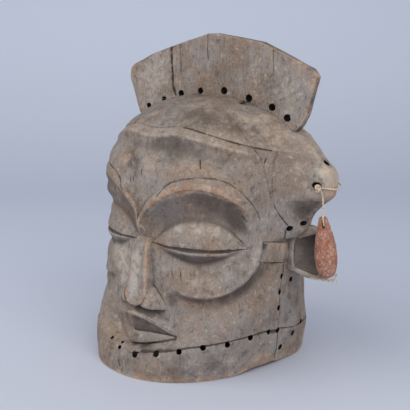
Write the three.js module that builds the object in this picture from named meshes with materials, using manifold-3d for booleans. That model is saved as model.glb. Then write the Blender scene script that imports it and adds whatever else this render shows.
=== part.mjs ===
// A carved wooden helmet mask of the Kete people, with a fruit-stone pendant on a string. Millimetres, +Z up.
// The face looks along -Y, the wearer's left is +X, and the rim stands on Z = 0.

import * as THREE from "three";
import { ConvexGeometry } from "three/addons/geometries/ConvexGeometry.js";
import * as BufferGeometryUtils from "three/addons/utils/BufferGeometryUtils.js";
import Module from "manifold-3d";

const wasm = await Module();
wasm.setup();

// Driving dimensions of the head
const height = 380;
const domeTop = 307;
const domeStart = 200;
const domePower = 2.25;
const axisBack = 10;
const wallAtRim = 13;
const wallAbove = 17;
const eyeWall = 5;
const crownThickness = 20;
const arcPerRadian = 113;

// Plans by height: half width, reach to the front and to the back, and how square the front and the back are.
// The collar's heights are shares of the height of its upper edge.
const facePlan = {
  height: [33, 52, 77, 115, 150, 200, 260, 320],
  half: [112.5, 113, 114.5, 116, 118, 121, 122, 122],
  front: [105, 103, 100, 98, 98, 99, 100, 100],
  back: [115, 115, 115, 115, 115, 115, 114, 112],
  frontPower: [3.1, 3.2, 3, 2.9, 2.8, 2.7, 2.4, 2.2],
  backPower: [2.7, 2.6, 2.45, 2.3, 2.3, 2.3, 2.3, 2.3],
};
const collarPlan = {
  height: [0, 0.45, 1],
  half: [103.5, 107.5, 112],
  front: [135, 133, 126],
  back: [113, 114, 115],
  frontPower: [2.15, 2.2, 2.3],
  backPower: [3.05, 3, 2.9],
};

// Height of the collar's upper edge by the angle from the front, and how far the cove above it reaches up
const collarTurns = [-180, -120, -90, -60, -34, -22, -10, -2, 8.5, 21.5, 33.7, 45.8, 59, 73.5, 88, 97, 112,
  125, 180];
const collarEdges = [40, 38, 44, 42, 38, 36, 32, 26, 25, 30, 37, 42, 43, 45.5, 46, 44, 38, 38, 40];
const coveTurns = [-34, -12, -3, 11, 22, 36];
const coveHeights = [26, 12, 8, 8, 16, 32];
const covePower = 2.2;

// How much fuller the collar is on the wearer's right, and how far the neck is set back behind the face
const fullness = 6.5;
const fullestAngle = -0.8;
const neckStep = 1.6;

// Crest board, as corner points across (X) and up (Z)
const crestOutline = [[-138, 280], [-158, 325], [-156, 337], [-149, 342], [-114, 354.5], [-65, 367],
  [-8, height], [6, height], [77, 370], [150, 342], [157, 334], [149, 310], [144, 293], [136, 281],
  [116, 264], [-116, 264]];
const crestCentreY = 28;
const crestBaseThickness = 13;
const crestTopThickness = 10;
const crestEndThinning = 4;

// Side horns: reach from the mask's axis at each height, about the angle of the horn
const hornHeights = [149, 155, 163, 170, 177.5, 185.6, 194, 201, 206, 215, 226, 232, 237.3, 241, 256, 270,
  278.4, 290, 303, 311];
const hornReaches = [100, 132, 139, 142, 144, 149, 157.5, 167, 171.5, 173, 173, 170.5, 166.5, 161.5, 149, 136,
  123, 103, 60, 20];
const hornAngle = 102;
const hornBluntness = 1.15;

// Mouth, nose and eyes, in millimetres along the face and up
const mouthHalfWidth = 62;
const mouthHeight = 50;
const upperLip = 17;
const lowerLip = 20;
const parting = 5;
const prowFront = 103.5;
const prowSlope = 0.246;
const noseTip = [[5, -104.8, 76.3], [10.5, -104, 78], [14.5, -102.3, 82], [16.5, -99.5, 88], [7, -83, 75.5],
  [14, -83, 77], [17.5, -83, 81], [19, -83, 88]];
const noseBridge = [[16.5, -99.5, 88], [14.5, -94.5, 115], [12, -91.5, 144], [9, -85, 153], [19, -83, 88],
  [16.6, -80, 115], [14, -78, 144], [10, -77, 153]];
const nostrilWing = [[18.5, -87, 97], [7, -99.5, 75.5], [30, -97.5, 75.5], [43, -87.5, 76.5], [12, -84, 97],
  [8, -80, 75.5], [38, -82, 75.5]];
const eyeHeight = 151;
const browCentre = 80;
const browRadius = 65;
const cheekCentre = 84;
const cheekHalfWidth = 70;
const cheekDrop = 53;
const browHeight = 1.7;
const bridgeHeight = 3.4;
const rollHeight = 2.6;
const slitDepth = 0.6;
const coveDepth = 12;
const lidSink = 7;
const eyeEnd = 147;
const lidEnd = 137;
const innerCorner = { depth: 8, ridge: 4.5, foot: 4 };
const stepHeight = 4.5;
const stepDepth = 6;
const lipDip = 4.5;

// Hairline: height in front and behind, its roll and cap, and the hollow in the forehead below it
const hairFront = 278;
const hairDrop = 27;
const hairRoll = 3.2;
const hairCap = 1.8;
const foreheadHollow = 3.5;

// Drilled holes: angle from the front and height, on the collar, below the ears and above them
const collarHoles = [[-11, 32], [-2, 26.2], [8.3, 24.6], [21.3, 30.6], [33.7, 36.9], [45.8, 41.8],
  [58.9, 42.3], [73.3, 45.5], [87.3, 46], [96, 43.7], [112, 31.5], [121, 40.8], [135, 38], [150, 38],
  [165, 39], [180, 39],
  [-39, 41], [-50, 43], [-60, 44], [-75, 45], [-91, 44.5], [-107, 41], [-122, 38], [-137, 38],
  [-151, 38], [-166, 39]];
const sideHoles = [[94.5, 72], [94.5, 91], [96, 109], [106, 101], [102, 19], [98, 164]];
const strapPlan = [[78, 133, 155], [85, 130, 152.5], [92, 127, 150], [98, 124.5, 147.5]];
const strapHeight = 1.6;
const strapDepth = 6;
const smallHoleRadius = 3.1;
const drillLength = 38;
const drillSink = 10;
const collarTop = 50;
const collarDrillRise = 0.4;
const crestHoles = [[-116, 290], [-86, 299.5], [-54, 308], [-19, 312.5], [21, 314], [61, 307.5], [96, 299],
  [118, 288.5]];
const crestHoleRadius = 4;
const crestDrill = 40;
const hornHole = { x: 157.3, y: 50, z: 218.4, radius: 4.2, length: 90 };
const hornTopHole = { x: 158, y: 42, z: 240, radius: 3, length: 24, tilt: 0.35 };

// Ear: a flap that flares outwards and back, as its plan and its outlines from the front and from the side
const earPlan = [[100, 31], [121, 31], [149, 43], [156, 48], [158, 54], [150, 61], [126, 66], [100, 66]];
const earOutline = [[95, 117], [121, 115], [137, 107.5], [158, 107], [164, 113], [163, 130], [159, 150],
  [153, 161], [144, 168], [95, 172]];
const earSide = [[20, 100], [20, 172], [47, 169], [58, 159], [70, 148], [70, 100]];
const earFoot = 107;
const earHeight = 74;
const earBack = 80;
const earDepth = 60;
const earRoot = 90;
const earReach = 90;

// The scoop in an ear: the hull of a narrow ball near the head and a tall deep one near the flap's edge
const scoopTurn = 32;
const scoopBalls = [
  { centre: [126, 33.5, 136], radii: [3.5, 4, 16.5] },
  { centre: [148, 41.5, 136.5], radii: [7, 13, 24.5] },
];

// Pendant and its string
const pendantTop = [161.9, 34, 184];
const pendantFoot = [167.4, 38.5, 115.2];
const pendantLength = 69.2;
const pendantProfile = [[0, 1], [3.4, 1], [4.6, 0.965], [7, 0.84], [9.9, 0.67], [11.8, 0.52], [12.6, 0.345],
  [11.3, 0.16], [8.4, 0.05], [4.5, 0.01], [0, 0]];
const stringDiameter = 2;
const stringSides = 7;
const hornString = [[159.6, 25.8, 212.6], [161.4, 28.4, 214.8], [164, 31.6, 215.4], [167.4, 34.8, 215],
  [170.9, 38, 214.4], [172.4, 41.8, 214], [172, 46.4, 214], [170.2, 52.6, 215], [167, 57.2, 216.6],
  [162.6, 59.4, 217.8], [158.6, 59.4, 218.3], [157.3, 55, 218.4], [157.3, 46, 218.4], [157.3, 34, 218.4],
  [157.5, 28.4, 218.6], [158.8, 25.8, 218], [161.2, 26.6, 216], [162.3, 28.4, 213], [162.8, 30, 209],
  [163.2, 31.4, 204], [163.4, 32.2, 196], [163.2, 32.9, 189], [162.4, 33.6, 184.9]];
const tailString = [[174.4, 45.6, 119.4], [173.9, 43.8, 115.8], [171, 41.2, 112.8], [165.5, 39, 111.4],
  [158, 37.8, 111], [150.4, 36.8, 110.6], [144.5, 36.2, 110.2]];

const wood = new THREE.MeshStandardMaterial({ color: 0x857a70, roughness: 0.78, metalness: 0 });
const fruit = new THREE.MeshStandardMaterial({ color: 0x8d6554, roughness: 0.7, metalness: 0 });
const twine = new THREE.MeshStandardMaterial({ color: 0xd9cdb4, roughness: 0.9, metalness: 0 });

const degrees = THREE.MathUtils.degToRad;
const smooth = (x, from, to) => THREE.MathUtils.smoothstep(x, from, to);
const mix = THREE.MathUtils.lerp;
const limit = (x) => THREE.MathUtils.clamp(x, 0, 1);

// A value read from a table of rising heights
function table(heights, values, z) {
  if (z <= heights[0]) return values[0];
  for (let i = 1; i < heights.length; i++) {
    const share = (z - heights[i - 1]) / (heights[i] - heights[i - 1]);
    if (z <= heights[i]) return mix(values[i - 1], values[i], share);
  }
  return values[values.length - 1];
}

// A rounded box in plan, as a radius at each angle
function planRadius(angle, height, plan) {
  const turn = Math.abs(angle) * 180 / Math.PI;
  const power = mix(table(plan.height, plan.frontPower, height), table(plan.height, plan.backPower, height),
    smooth(turn, 60, 120));
  const across = Math.abs(Math.sin(angle)) / table(plan.height, plan.half, height);
  const reach = table(plan.height, Math.cos(angle) > 0 ? plan.front : plan.back, height);
  const along = Math.abs(Math.cos(angle)) / reach;
  return (across ** power + along ** power) ** (-1 / power);
}

function collarEdge(angle) {
  return table(collarTurns, collarEdges, angle * 180 / Math.PI);
}

// The plain head's radius about its axis: the face's plan, the collar's below it, and a dome above
function headRadius(angle, z) {
  const turn = Math.abs(angle) * 180 / Math.PI;
  const edge = collarEdge(angle);
  const above = limit((z - edge) / table(coveTurns, coveHeights, angle * 180 / Math.PI));
  const collarShare = (1 - above) ** covePower;
  const plain = mix(planRadius(angle, z, facePlan), planRadius(angle, z / edge, collarPlan), collarShare);
  const fuller = fullness * Math.exp(-(((angle - fullestAngle) / 0.45) ** 2)) * (1 - smooth(z, 30, 110));
  const behind = neckStep * smooth(turn, 95, 97) * (1 - smooth(turn, 118, 135));
  const neck = behind * smooth(z, 2, 10) * (1 - smooth(z, 118, 128));
  const rise = Math.max(0, (z - domeStart) / (domeTop - domeStart));
  const shrink = Math.max(0, 1 - rise ** domePower) ** (1 / domePower);
  return (plain + fuller - neck) * shrink;
}

// Lines of the eye and brow, as a height for each distance along the face
function browEdge(u) {
  if (u > browCentre) {
    return eyeHeight + browRadius * Math.sqrt(Math.max(0, 1 - ((u - browCentre) / (browRadius + 2)) ** 2));
  }
  return 215.8 - 34 * ((browCentre - u) / 72) ** 1.6 - 11 * Math.exp(-u / 3.5);
}

// Upper line of the brow band, which widens outwards
function browTop(u) {
  return browEdge(u) + table([0, 41, 65, 87, 108, 126, 138, 148], [11, 12, 11, 12.3, 17, 22, 25, 40], u);
}

function lidTop(u) {
  const away = u < 88 ? (88 - u) / 72 : (u - 88) / 49;
  return 150 + 30 * (1 - Math.min(away, 1) ** (u < 88 ? 2 : 2.4));
}

function lidFoot(u) {
  const away = u < 85 ? (85 - u) / 69 : (u - 85) / 51;
  return eyeHeight - 19 * (1 - Math.min(away, 1) ** 1.6);
}

function eyeSlit(u) {
  return 148.3 + 1.5 * smooth(u, 100, 136);
}

function cheekEdge(u) {
  return eyeHeight - cheekDrop * Math.sqrt(Math.max(0, 1 - ((u - cheekCentre) / cheekHalfWidth) ** 2));
}

// Brow band, the cove below it, the closed eye, and the cheek mound with its step
function eyeRelief(u, z) {
  const brow = browEdge(u);
  const roll = rollHeight * Math.exp(-(((u - 149) / 6.5) ** 2) - ((z - 148) / 15) ** 2);
  if (z >= brow) {
    const band = browHeight * (1 - smooth(z - browTop(u), -3, 0.5)) * (1 - smooth(u, 134, 148));
    return roll + band + bridgeHeight * Math.exp(-((u / 14) ** 2) - ((z - 170) / 13) ** 2);
  }
  const outer = 1 - smooth(u, 120, 147);
  const depth = mix(innerCorner.depth, coveDepth, smooth(u, 10, 40)) * outer;
  const ridge = (-mix(innerCorner.ridge, 0.5, smooth(u, 14, 55)) - 1.5 * smooth(u, 105, 130)) * outer;
  const foot = mix(innerCorner.foot, lidSink, smooth(u, 16, 60)) * mix(1, 0.3, smooth(u, 105, 138)) * outer;
  const lid = lidTop(u);
  const slit = eyeSlit(u);
  const lower = lidFoot(u);
  const cheek = Math.hypot((u - cheekCentre) / cheekHalfWidth, (z - eyeHeight) / cheekDrop);
  if (z >= lid && u < eyeEnd) {
    const share = 1 - (1 - limit((brow - z) / Math.max(brow - lid, 1))) ** 2.1;
    return roll + mix(0.6, -depth, share);
  }
  if (z >= slit && u < lidEnd) {
    const share = Math.sin(limit((lid - z) / Math.max(lid - slit, 1)) * Math.PI / 2);
    return roll - depth + (ridge + depth) * share;
  }
  if (z >= lower && u < lidEnd) {
    const share = limit((slit - z) / Math.max(slit - lower, 1)) ** 1.4;
    return roll + ridge - slitDepth + (-foot - ridge) * share;
  }
  const crown = mix(-2.5, 1.2, smooth(u, 25, 75));
  if (cheek < 1) {
    const start = Math.hypot((u - cheekCentre) / cheekHalfWidth, (lower - eyeHeight) / cheekDrop);
    const share = limit((cheek - start) / Math.max(1 - start, 0.05));
    return roll - foot + (crown + foot) * Math.sin(share * Math.PI / 2);
  }
  const out = (cheek - 1) * 55;
  const step = smooth(u, 40, 85) * (stepHeight * smooth(out, 8, 40) - stepDepth * smooth(out, 0, 7));
  return roll + (crown + step) * (1 - smooth(out, 10, 60)) * (1 - smooth(z, 135, 158));
}

// Heights of the lips' upper edge, the parting and the lower edge
function lipLines(u) {
  const share = limit(1 - u / mouthHalfWidth);
  const bulge = share + 0.5 * share * (1 - share);
  return [mouthHeight + upperLip * bulge, mouthHeight - parting * share, mouthHeight - lowerLip * bulge];
}

// Lips: a prow whose two halves fall back to the corners, with the parting set in
function lipRelief(angle, u, z, radius, relief) {
  const share = limit(1 - u / mouthHalfWidth);
  const face = (axisBack + prowFront) / (Math.cos(angle) + prowSlope * Math.abs(Math.sin(angle)));
  const prow = Math.max(face - radius, relief);
  const [top, part, bottom] = lipLines(u);
  const dip = lipDip * Math.sqrt(share);
  if (z >= top) return mix(prow, relief, limit((z - top) / 10));
  if (z >= part) return prow - dip * (1 - (z - part) / (top - part));
  if (z >= bottom) return prow - dip * (1 - (part - z) / (part - bottom)) ** 1.3;
  return mix(prow, relief, limit((bottom - z) / 0.4));
}

function hairlineHeight(turn) {
  return hairFront - 2.5 * (1 - smooth(turn, 5, 25)) - hairDrop * smooth(turn, 25, 100);
}

// Hairline: a roll with a shallow hollow in the forehead below it
function hairlineRelief(turn, z) {
  const above = z - hairlineHeight(turn);
  const roll = hairRoll * Math.exp(-(((above + 7) / 5) ** 2)) * (1 - smooth(turn, 50, 85));
  const hollow = foreheadHollow * Math.exp(-(((above + 26) / 12) ** 2)) * (1 - smooth(turn, 40, 75));
  const cap = hairCap * smooth(above, 0, 1.6) * (1 - smooth(above, 15, 40));
  return (roll - hollow + cap) * (1 - smooth(turn, 100, 125));
}

function hornRelief(turn, z, radius) {
  const spread = table([150, 185, 205, 245, 280, 300], [8, 8.5, 9, 12, 20, 28], z);
  const reach = table(hornHeights, hornReaches, z);
  const share = hornBluntness * Math.exp(-(Math.abs((turn - hornAngle) / spread) ** 1.3));
  return Math.max(0, reach - radius) * Math.min(share, 1);
}

function outerPoint(angle, z) {
  const turn = Math.abs(angle) * 180 / Math.PI;
  const u = Math.abs(angle) * arcPerRadian;
  const plain = headRadius(angle, z);
  let relief = eyeRelief(u, z);
  if (u < mouthHalfWidth && z > 28 && z < 82) relief = lipRelief(angle, u, z, plain, relief);
  const carved = plain + (relief + hairlineRelief(turn, z)) * smooth(domeTop - z, 0, 12);
  const radius = carved + hornRelief(turn, z, carved);
  return [radius * Math.sin(angle), axisBack - radius * Math.cos(angle), z];
}

// Heights of the rows of points at one angle, gathered on the lines of the carving
function rowHeights(angle) {
  const turn = Math.abs(angle) * 180 / Math.PI;
  const u = Math.abs(angle) * arcPerRadian;
  const [lipTop, lipPart, lipBottom] = lipLines(u);
  const plain = smooth(turn, 70, 84);
  const collar = collarEdge(angle);
  const cheek = mix(Math.min(Math.max(cheekEdge(u), 98), 124), 104, plain);
  const eyeFoot = mix(Math.min(lidFoot(u), 145), 130, plain);
  const slit = mix(eyeSlit(u), 152, plain);
  const eyeTop = mix(Math.max(lidTop(u), 157), 172, plain);
  const brow = mix(u > 130 ? Math.max(browEdge(u), 178) : browEdge(u), 200, plain);
  const hair = hairlineHeight(turn);
  const keys = [[0, 0], [12, 1], [collar, 1], [collar + 3.5, 1], [lipBottom - 0.4, 1], [lipBottom, 1],
    [lipPart, 2], [lipTop, 1], [Math.min(lipTop + 10, 80), 1], [cheek - 7, 1], [cheek, 1], [eyeFoot, 2],
    [slit - 0.3, 2], [slit + 0.6, 1], [eyeTop, 2], [brow - 0.3, 2], [brow + 0.3, 1],
    [mix(Math.min(browTop(u), 232), 224, plain), 1], [hair - 26, 2], [hair - 7, 2], [hair, 1]];
  const heights = [0];
  for (const [next, steps] of keys.slice(1)) {
    const last = heights[heights.length - 1];
    const target = Math.max(next, last + 0.4 * steps);
    for (let k = 1; k <= steps; k++) heights.push(mix(last, target, k / steps));
  }
  const first = Math.asin((heights[heights.length - 1] - domeStart) / (domeTop - domeStart));
  for (let k = 1; k <= 4; k++) {
    heights.push(domeStart + (domeTop - domeStart) * Math.sin(mix(first, Math.PI / 2, k / 5)));
  }
  return heights;
}

// A closed shell from a ring of points at every height, with a flat foot and a pole on top
function ringSolid(columns, ringPoint, heightsAt, top) {
  const rings = columns.map((angle) => heightsAt(angle).map((z) => ringPoint(angle, z)));
  const rows = rings[0].length;
  const points = rings.flat(2);
  const foot = points.length / 3;
  points.push(0, axisBack, rings[0][0][2], ...top);
  const index = [];
  rings.forEach((ring, i) => {
    const here = i * rows;
    const next = ((i + 1) % rings.length) * rows;
    for (let k = 0; k + 1 < rows; k++) {
      index.push(here + k, next + k, next + k + 1, here + k, next + k + 1, here + k + 1);
    }
    index.push(foot, next, here, here + rows - 1, next + rows - 1, foot + 1);
  });
  const geometry = new THREE.BufferGeometry();
  geometry.setAttribute("position", new THREE.Float32BufferAttribute(points, 3));
  geometry.setIndex(index);
  return solid(geometry);
}

function solid(geometry) {
  const bare = geometry.clone();
  bare.deleteAttribute("normal");
  bare.deleteAttribute("uv");
  const merged = BufferGeometryUtils.mergeVertices(bare, 1e-4);
  return new wasm.Manifold(new wasm.Mesh({
    numProp: 3,
    vertProperties: new Float32Array(merged.attributes.position.array),
    triVerts: new Uint32Array(merged.index.array),
  }));
}

function geometryOf(manifold) {
  const mesh = manifold.getMesh();
  const geometry = new THREE.BufferGeometry();
  geometry.setAttribute("position", new THREE.BufferAttribute(new Float32Array(mesh.vertProperties), 3));
  geometry.setIndex(new THREE.BufferAttribute(new Uint32Array(mesh.triVerts), 1));
  return geometry;
}

// Angles of the columns of points: close together on the face and at the horns
const halfColumns = [0, 3.2, 6.2, 7.8, 10, 13.5, 17.5, 22, 27, 31.5, 36, 41, 46, 51, 56, 61, 65.5, 69, 71.5,
  74, 79, 84, 88.5, 92.5, 96, 99, 102, 105, 108, 111.5, 116, 122, 130, 140, 152, 166];
const outerColumns = [...halfColumns, 180, ...halfColumns.slice(1).reverse().map((a) => -a)].map(degrees);
const innerColumns = Array.from({ length: 28 }, (_, i) => degrees(i * 360 / 28));

// The hollow for the wearer's head follows the plain form inside
const hollowTop = 291;
const hollowHeights = [-5, 0, 10, 20, 30, 70, 120, 180, 215, 240, 260, 275, 285];
function innerPoint(angle, z) {
  const outside = Math.min(...[0, 8, 14].map((up) => headRadius(angle, Math.max(z, 0) + up)));
  const dome = headRadius(angle, Math.max(z, 0) + crownThickness * smooth(z, 180, 270));
  const turn = Math.abs(angle) * 180 / Math.PI;
  const behindEyes = eyeWall * smooth(z, 105, 140) * (1 - smooth(z, 215, 250)) * (1 - smooth(turn, 65, 95));
  const radius = Math.min(outside, dome) - mix(wallAtRim, wallAbove, smooth(z, 0, 60)) - behindEyes;
  return [Math.max(radius, 4) * Math.sin(angle), axisBack - Math.max(radius, 4) * Math.cos(angle), z];
}

// A pin along a direction, for drilling
function pin(centre, direction, radius, length, sides) {
  const geometry = new THREE.CylinderGeometry(radius, radius, length, sides);
  const upright = new THREE.Vector3(0, 1, 0);
  geometry.applyQuaternion(new THREE.Quaternion().setFromUnitVectors(upright, direction.clone().normalize()));
  geometry.translate(...centre);
  return solid(geometry);
}

// A flat-sided prism: an outline in one plane, pushed along the third axis
function prism(outline, depth) {
  const shape = new THREE.Shape(outline.map(([a, b]) => new THREE.Vector2(a, b)));
  return new THREE.ExtrudeGeometry(shape, { depth, bevelEnabled: false });
}

function crest() {
  const geometry = prism(crestOutline, 1);
  const position = geometry.attributes.position;
  for (let i = 0; i < position.count; i++) {
    const z = position.getY(i);
    const thinning = crestEndThinning * smooth(Math.abs(position.getX(i)), 95, 145);
    const thickness = table([280, height], [crestBaseThickness, crestTopThickness], z) - thinning;
    position.setXYZ(i, position.getX(i), crestCentreY + thickness * (0.5 - position.getZ(i)), z);
  }
  return solid(geometry);
}

// A block with flat faces around the given points
function block(points) {
  return solid(new ConvexGeometry(points.map((p) => new THREE.Vector3(...p))));
}

const bothSides = (points) => points.flatMap(([x, y, z]) => [[x, y, z], [-x, y, z]]);

// Nose: a flat tongue that leans out to a rounded tip, with a nostril wing on each side
function nose() {
  const wing = block(nostrilWing);
  return block(bothSides(noseTip))
    .add(block(bothSides(noseBridge)))
    .add(wing)
    .add(mirrored(wing));
}

// Strap across the temple in front of the ear, standing a little proud
function strap() {
  const points = [];
  for (const [turn, low, high] of strapPlan) {
    const angle = degrees(turn);
    for (const z of [low, high]) {
      const radius = headRadius(angle, z);
      for (const reach of [radius + strapHeight, radius - strapDepth]) {
        points.push([reach * Math.sin(angle), axisBack - reach * Math.cos(angle), z]);
      }
    }
  }
  return block(points);
}

function earScoop() {
  const balls = scoopBalls.map(({ centre, radii }) => {
    const ball = new THREE.SphereGeometry(1, 12, 8);
    ball.scale(...radii);
    ball.rotateZ(degrees(scoopTurn));
    ball.translate(...centre);
    return solid(ball);
  });
  return wasm.Manifold.hull(balls);
}

// An ear is where its three prisms meet
function ear() {
  const plan = prism(earPlan, earHeight);
  plan.translate(0, 0, earFoot);
  const outline = prism(earOutline, earDepth);
  outline.rotateX(Math.PI / 2);
  outline.translate(0, earBack, 0);
  const side = prism(earSide, earReach);
  side.applyMatrix4(new THREE.Matrix4().set(0, 0, 1, earRoot, 1, 0, 0, 0, 0, 1, 0, 0, 0, 0, 0, 1));
  return solid(plan).intersect(solid(outline)).intersect(solid(side));
}

function mirrored(manifold) {
  const geometry = geometryOf(manifold);
  geometry.scale(-1, 1, 1);
  const index = geometry.index.array;
  for (let i = 0; i < index.length; i += 3) [index[i], index[i + 1]] = [index[i + 1], index[i]];
  return solid(geometry);
}

// A small hole square to the surface, sloping down inwards on the collar
function drilledHole([turn, z, radius = smallHoleRadius]) {
  const angle = degrees(turn);
  const [x, y] = outerPoint(angle, z);
  const rise = z < collarTop ? collarDrillRise : 0;
  const direction = new THREE.Vector3(Math.sin(angle), -Math.cos(angle), rise);
  const centre = [x - drillSink * direction.x, y - drillSink * direction.y, z - drillSink * rise];
  return pin(centre, direction, radius, drillLength, 6);
}

function helmetMask() {
  let mask = ringSolid(outerColumns, outerPoint, rowHeights, [0, axisBack, domeTop]);
  mask = mask.add(nose());
  const nearStrap = strap();
  mask = mask.add(nearStrap).add(mirrored(nearStrap));
  mask = mask.add(crest());
  const nearEar = ear();
  const scoop = earScoop();
  mask = mask.add(nearEar).add(mirrored(nearEar)).subtract(scoop).subtract(mirrored(scoop));
  mask = mask.subtract(ringSolid(innerColumns, innerPoint, () => hollowHeights, [0, axisBack, hollowTop]));
  for (const place of collarHoles) mask = mask.subtract(drilledHole(place));
  for (const [turn, z] of sideHoles) {
    mask = mask.subtract(drilledHole([turn, z])).subtract(drilledHole([-turn, z]));
  }
  const through = new THREE.Vector3(0, 1, 0);
  for (const [x, z] of crestHoles) {
    mask = mask.subtract(pin([x, crestCentreY, z], through, crestHoleRadius, crestDrill, 8));
  }
  for (const side of [-1, 1]) {
    const front = [side * hornHole.x, hornHole.y, hornHole.z];
    mask = mask.subtract(pin(front, through, hornHole.radius, hornHole.length, 8));
    const top = [side * hornTopHole.x, hornTopHole.y, hornTopHole.z];
    const tilt = new THREE.Vector3(side * hornTopHole.tilt, 0, 1);
    mask = mask.subtract(pin(top, tilt, hornTopHole.radius, hornTopHole.length, 6));
  }
  return geometryOf(mask);
}

function pendant() {
  const profile = pendantProfile.map(([radius, share]) => new THREE.Vector2(radius, pendantLength * share));
  const geometry = new THREE.LatheGeometry(profile.reverse(), 14);
  const foot = new THREE.Vector3(...pendantFoot);
  const lean = new THREE.Vector3(...pendantTop).sub(foot).normalize();
  geometry.applyQuaternion(new THREE.Quaternion().setFromUnitVectors(new THREE.Vector3(0, 1, 0), lean));
  geometry.translate(...pendantFoot);
  return geometryOf(solid(geometry));
}

// A string of round section along its route
function string(route, steps) {
  const curve = new THREE.CatmullRomCurve3(route.map((p) => new THREE.Vector3(...p)), false, "centripetal");
  const section = new THREE.Shape();
  for (let k = 0; k < stringSides; k++) {
    const angle = k * 2 * Math.PI / stringSides;
    const point = [stringDiameter / 2 * Math.cos(angle), stringDiameter / 2 * Math.sin(angle)];
    if (k === 0) section.moveTo(...point);
    else section.lineTo(...point);
  }
  section.closePath();
  return new THREE.ExtrudeGeometry(section, { steps, extrudePath: curve });
}

function named(name, geometry, material) {
  const mesh = new THREE.Mesh(geometry, material);
  mesh.name = name;
  return mesh;
}

const object = new THREE.Group();
object.add(named("helmet_mask", helmetMask(), wood));
object.add(named("fruit_pendant", pendant(), fruit));
object.add(named("earring_string", string(hornString, 34), twine));
object.add(named("earring_tail", string(tailString, 9), twine));

export default object;
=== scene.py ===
import math
import bmesh
import bpy
import numpy as np
from mathutils import Matrix, Vector, kdtree, noise


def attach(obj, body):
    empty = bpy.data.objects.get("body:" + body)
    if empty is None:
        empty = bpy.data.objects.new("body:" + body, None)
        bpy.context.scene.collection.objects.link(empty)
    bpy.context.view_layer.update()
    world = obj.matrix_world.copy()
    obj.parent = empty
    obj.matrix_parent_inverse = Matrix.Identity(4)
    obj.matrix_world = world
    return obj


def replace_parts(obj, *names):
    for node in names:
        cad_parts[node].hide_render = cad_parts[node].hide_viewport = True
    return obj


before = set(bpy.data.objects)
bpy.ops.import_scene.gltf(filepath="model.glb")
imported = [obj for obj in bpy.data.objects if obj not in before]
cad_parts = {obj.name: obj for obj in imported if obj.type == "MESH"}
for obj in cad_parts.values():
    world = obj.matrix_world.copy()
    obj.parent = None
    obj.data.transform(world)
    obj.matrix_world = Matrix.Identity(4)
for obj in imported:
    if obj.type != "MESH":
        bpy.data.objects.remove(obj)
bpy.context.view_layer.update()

# Shapes are worked out in millimetres, as in the CAD source, and the meshes are in metres.
MM = 0.001


def smooth(x, start, end):
    """0 up to the start, 1 from the end on, and an even change between."""
    share = np.clip((x - start) / (end - start), 0, 1)
    return share * share * (3 - 2 * share)


def mix(a, b, share):
    return a + (b - a) * share


def limit(x):
    return np.clip(x, 0, 1)


# Camera of the photograph

CAMERA_RIGHT = (0.688, 0.725, 0)


def make_camera():
    data = bpy.data.cameras.new("camera")
    data.lens, data.sensor_width = 72, 36
    data.clip_start, data.clip_end = 0.05, 20
    camera = bpy.data.objects.new("camera", data)
    bpy.context.scene.collection.objects.link(camera)
    camera.location = (0.706, -0.659, 0.369)
    look = Vector((0.0055, 0.0058, 0.178)) - camera.location
    camera.rotation_euler = look.to_track_quat("-Z", "Y").to_euler()
    bpy.context.scene.camera = camera


make_camera()


# Mesh helpers

def link(name, bm):
    mesh = bpy.data.meshes.new(name)
    bm.to_mesh(mesh)
    bm.free()
    made = bpy.data.objects.new(name, mesh)
    bpy.context.scene.collection.objects.link(made)
    return made


def vectors(parts, kind):
    """One vector of each vertex or face, such as its place or its normal."""
    flat = np.empty(len(parts) * 3)
    parts.foreach_get(kind, flat)
    return flat.reshape(-1, 3)


def points_of(mesh):
    return vectors(mesh.vertices, "co")


def normals_of(mesh):
    return vectors(mesh.vertices, "normal")


def place(mesh, points):
    mesh.vertices.foreach_set("co", np.asarray(points, dtype=float).ravel())
    mesh.update()


def set_attribute(mesh, name, values, domain="POINT"):
    layer = mesh.attributes.new(name, "FLOAT", domain)
    layer.data.foreach_set("value", np.asarray(values, dtype=np.float32))


def apply_modifiers(made):
    graph = bpy.context.evaluated_depsgraph_get()
    mesh = bpy.data.meshes.new_from_object(made.evaluated_get(graph))
    made.modifiers.clear()
    made.data = mesh


def combine(base, tool, operation):
    cut = base.modifiers.new("combine", "BOOLEAN")
    cut.operation, cut.object, cut.solver = operation, tool, "MANIFOLD"
    apply_modifiers(base)
    bpy.data.objects.remove(tool)


def remesh(made, voxel, rounds):
    """Joins what overlaps into one skin of even small faces, with its edges rounded."""
    skin = made.modifiers.new("skin", "REMESH")
    skin.mode, skin.voxel_size = "VOXEL", voxel
    apply_modifiers(made)
    bm = bmesh.new()
    bm.from_mesh(made.data)
    for _ in range(rounds):
        bmesh.ops.smooth_vert(bm, verts=bm.verts, factor=0.5,
                              use_axis_x=True, use_axis_y=True, use_axis_z=True)
    bmesh.ops.recalc_face_normals(bm, faces=bm.faces)
    bm.to_mesh(made.data)
    bm.free()


def grid(name, columns, rows):
    """A flat grid to be wrapped, with the column and row of each of its points."""
    bm = bmesh.new()
    bmesh.ops.create_grid(bm, x_segments=columns, y_segments=rows, size=1)
    made = link(name, bm)
    flat = (points_of(made.data)[:, :2] + 1) / 2
    column, row = np.rint(flat * (columns, rows)).astype(int).T
    return made, column, row


def close_skin(made, distance=1e-7):
    """Joins the seam and the poles of a wrapped grid, closes its open ends and turns its faces outward."""
    bm = bmesh.new()
    bm.from_mesh(made.data)
    bmesh.ops.remove_doubles(bm, verts=bm.verts, dist=distance)
    bmesh.ops.holes_fill(bm, edges=[e for e in bm.edges if e.is_boundary], sides=0)
    bmesh.ops.recalc_face_normals(bm, faces=bm.faces)
    bm.to_mesh(made.data)
    bm.free()
    return made


def round_edges(bm, edges, offset, segments):
    bmesh.ops.bevel(bm, geom=edges, offset=offset * MM, offset_type="OFFSET", affect="EDGES",
                    segments=segments, profile=0.5, material=-1)


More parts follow.
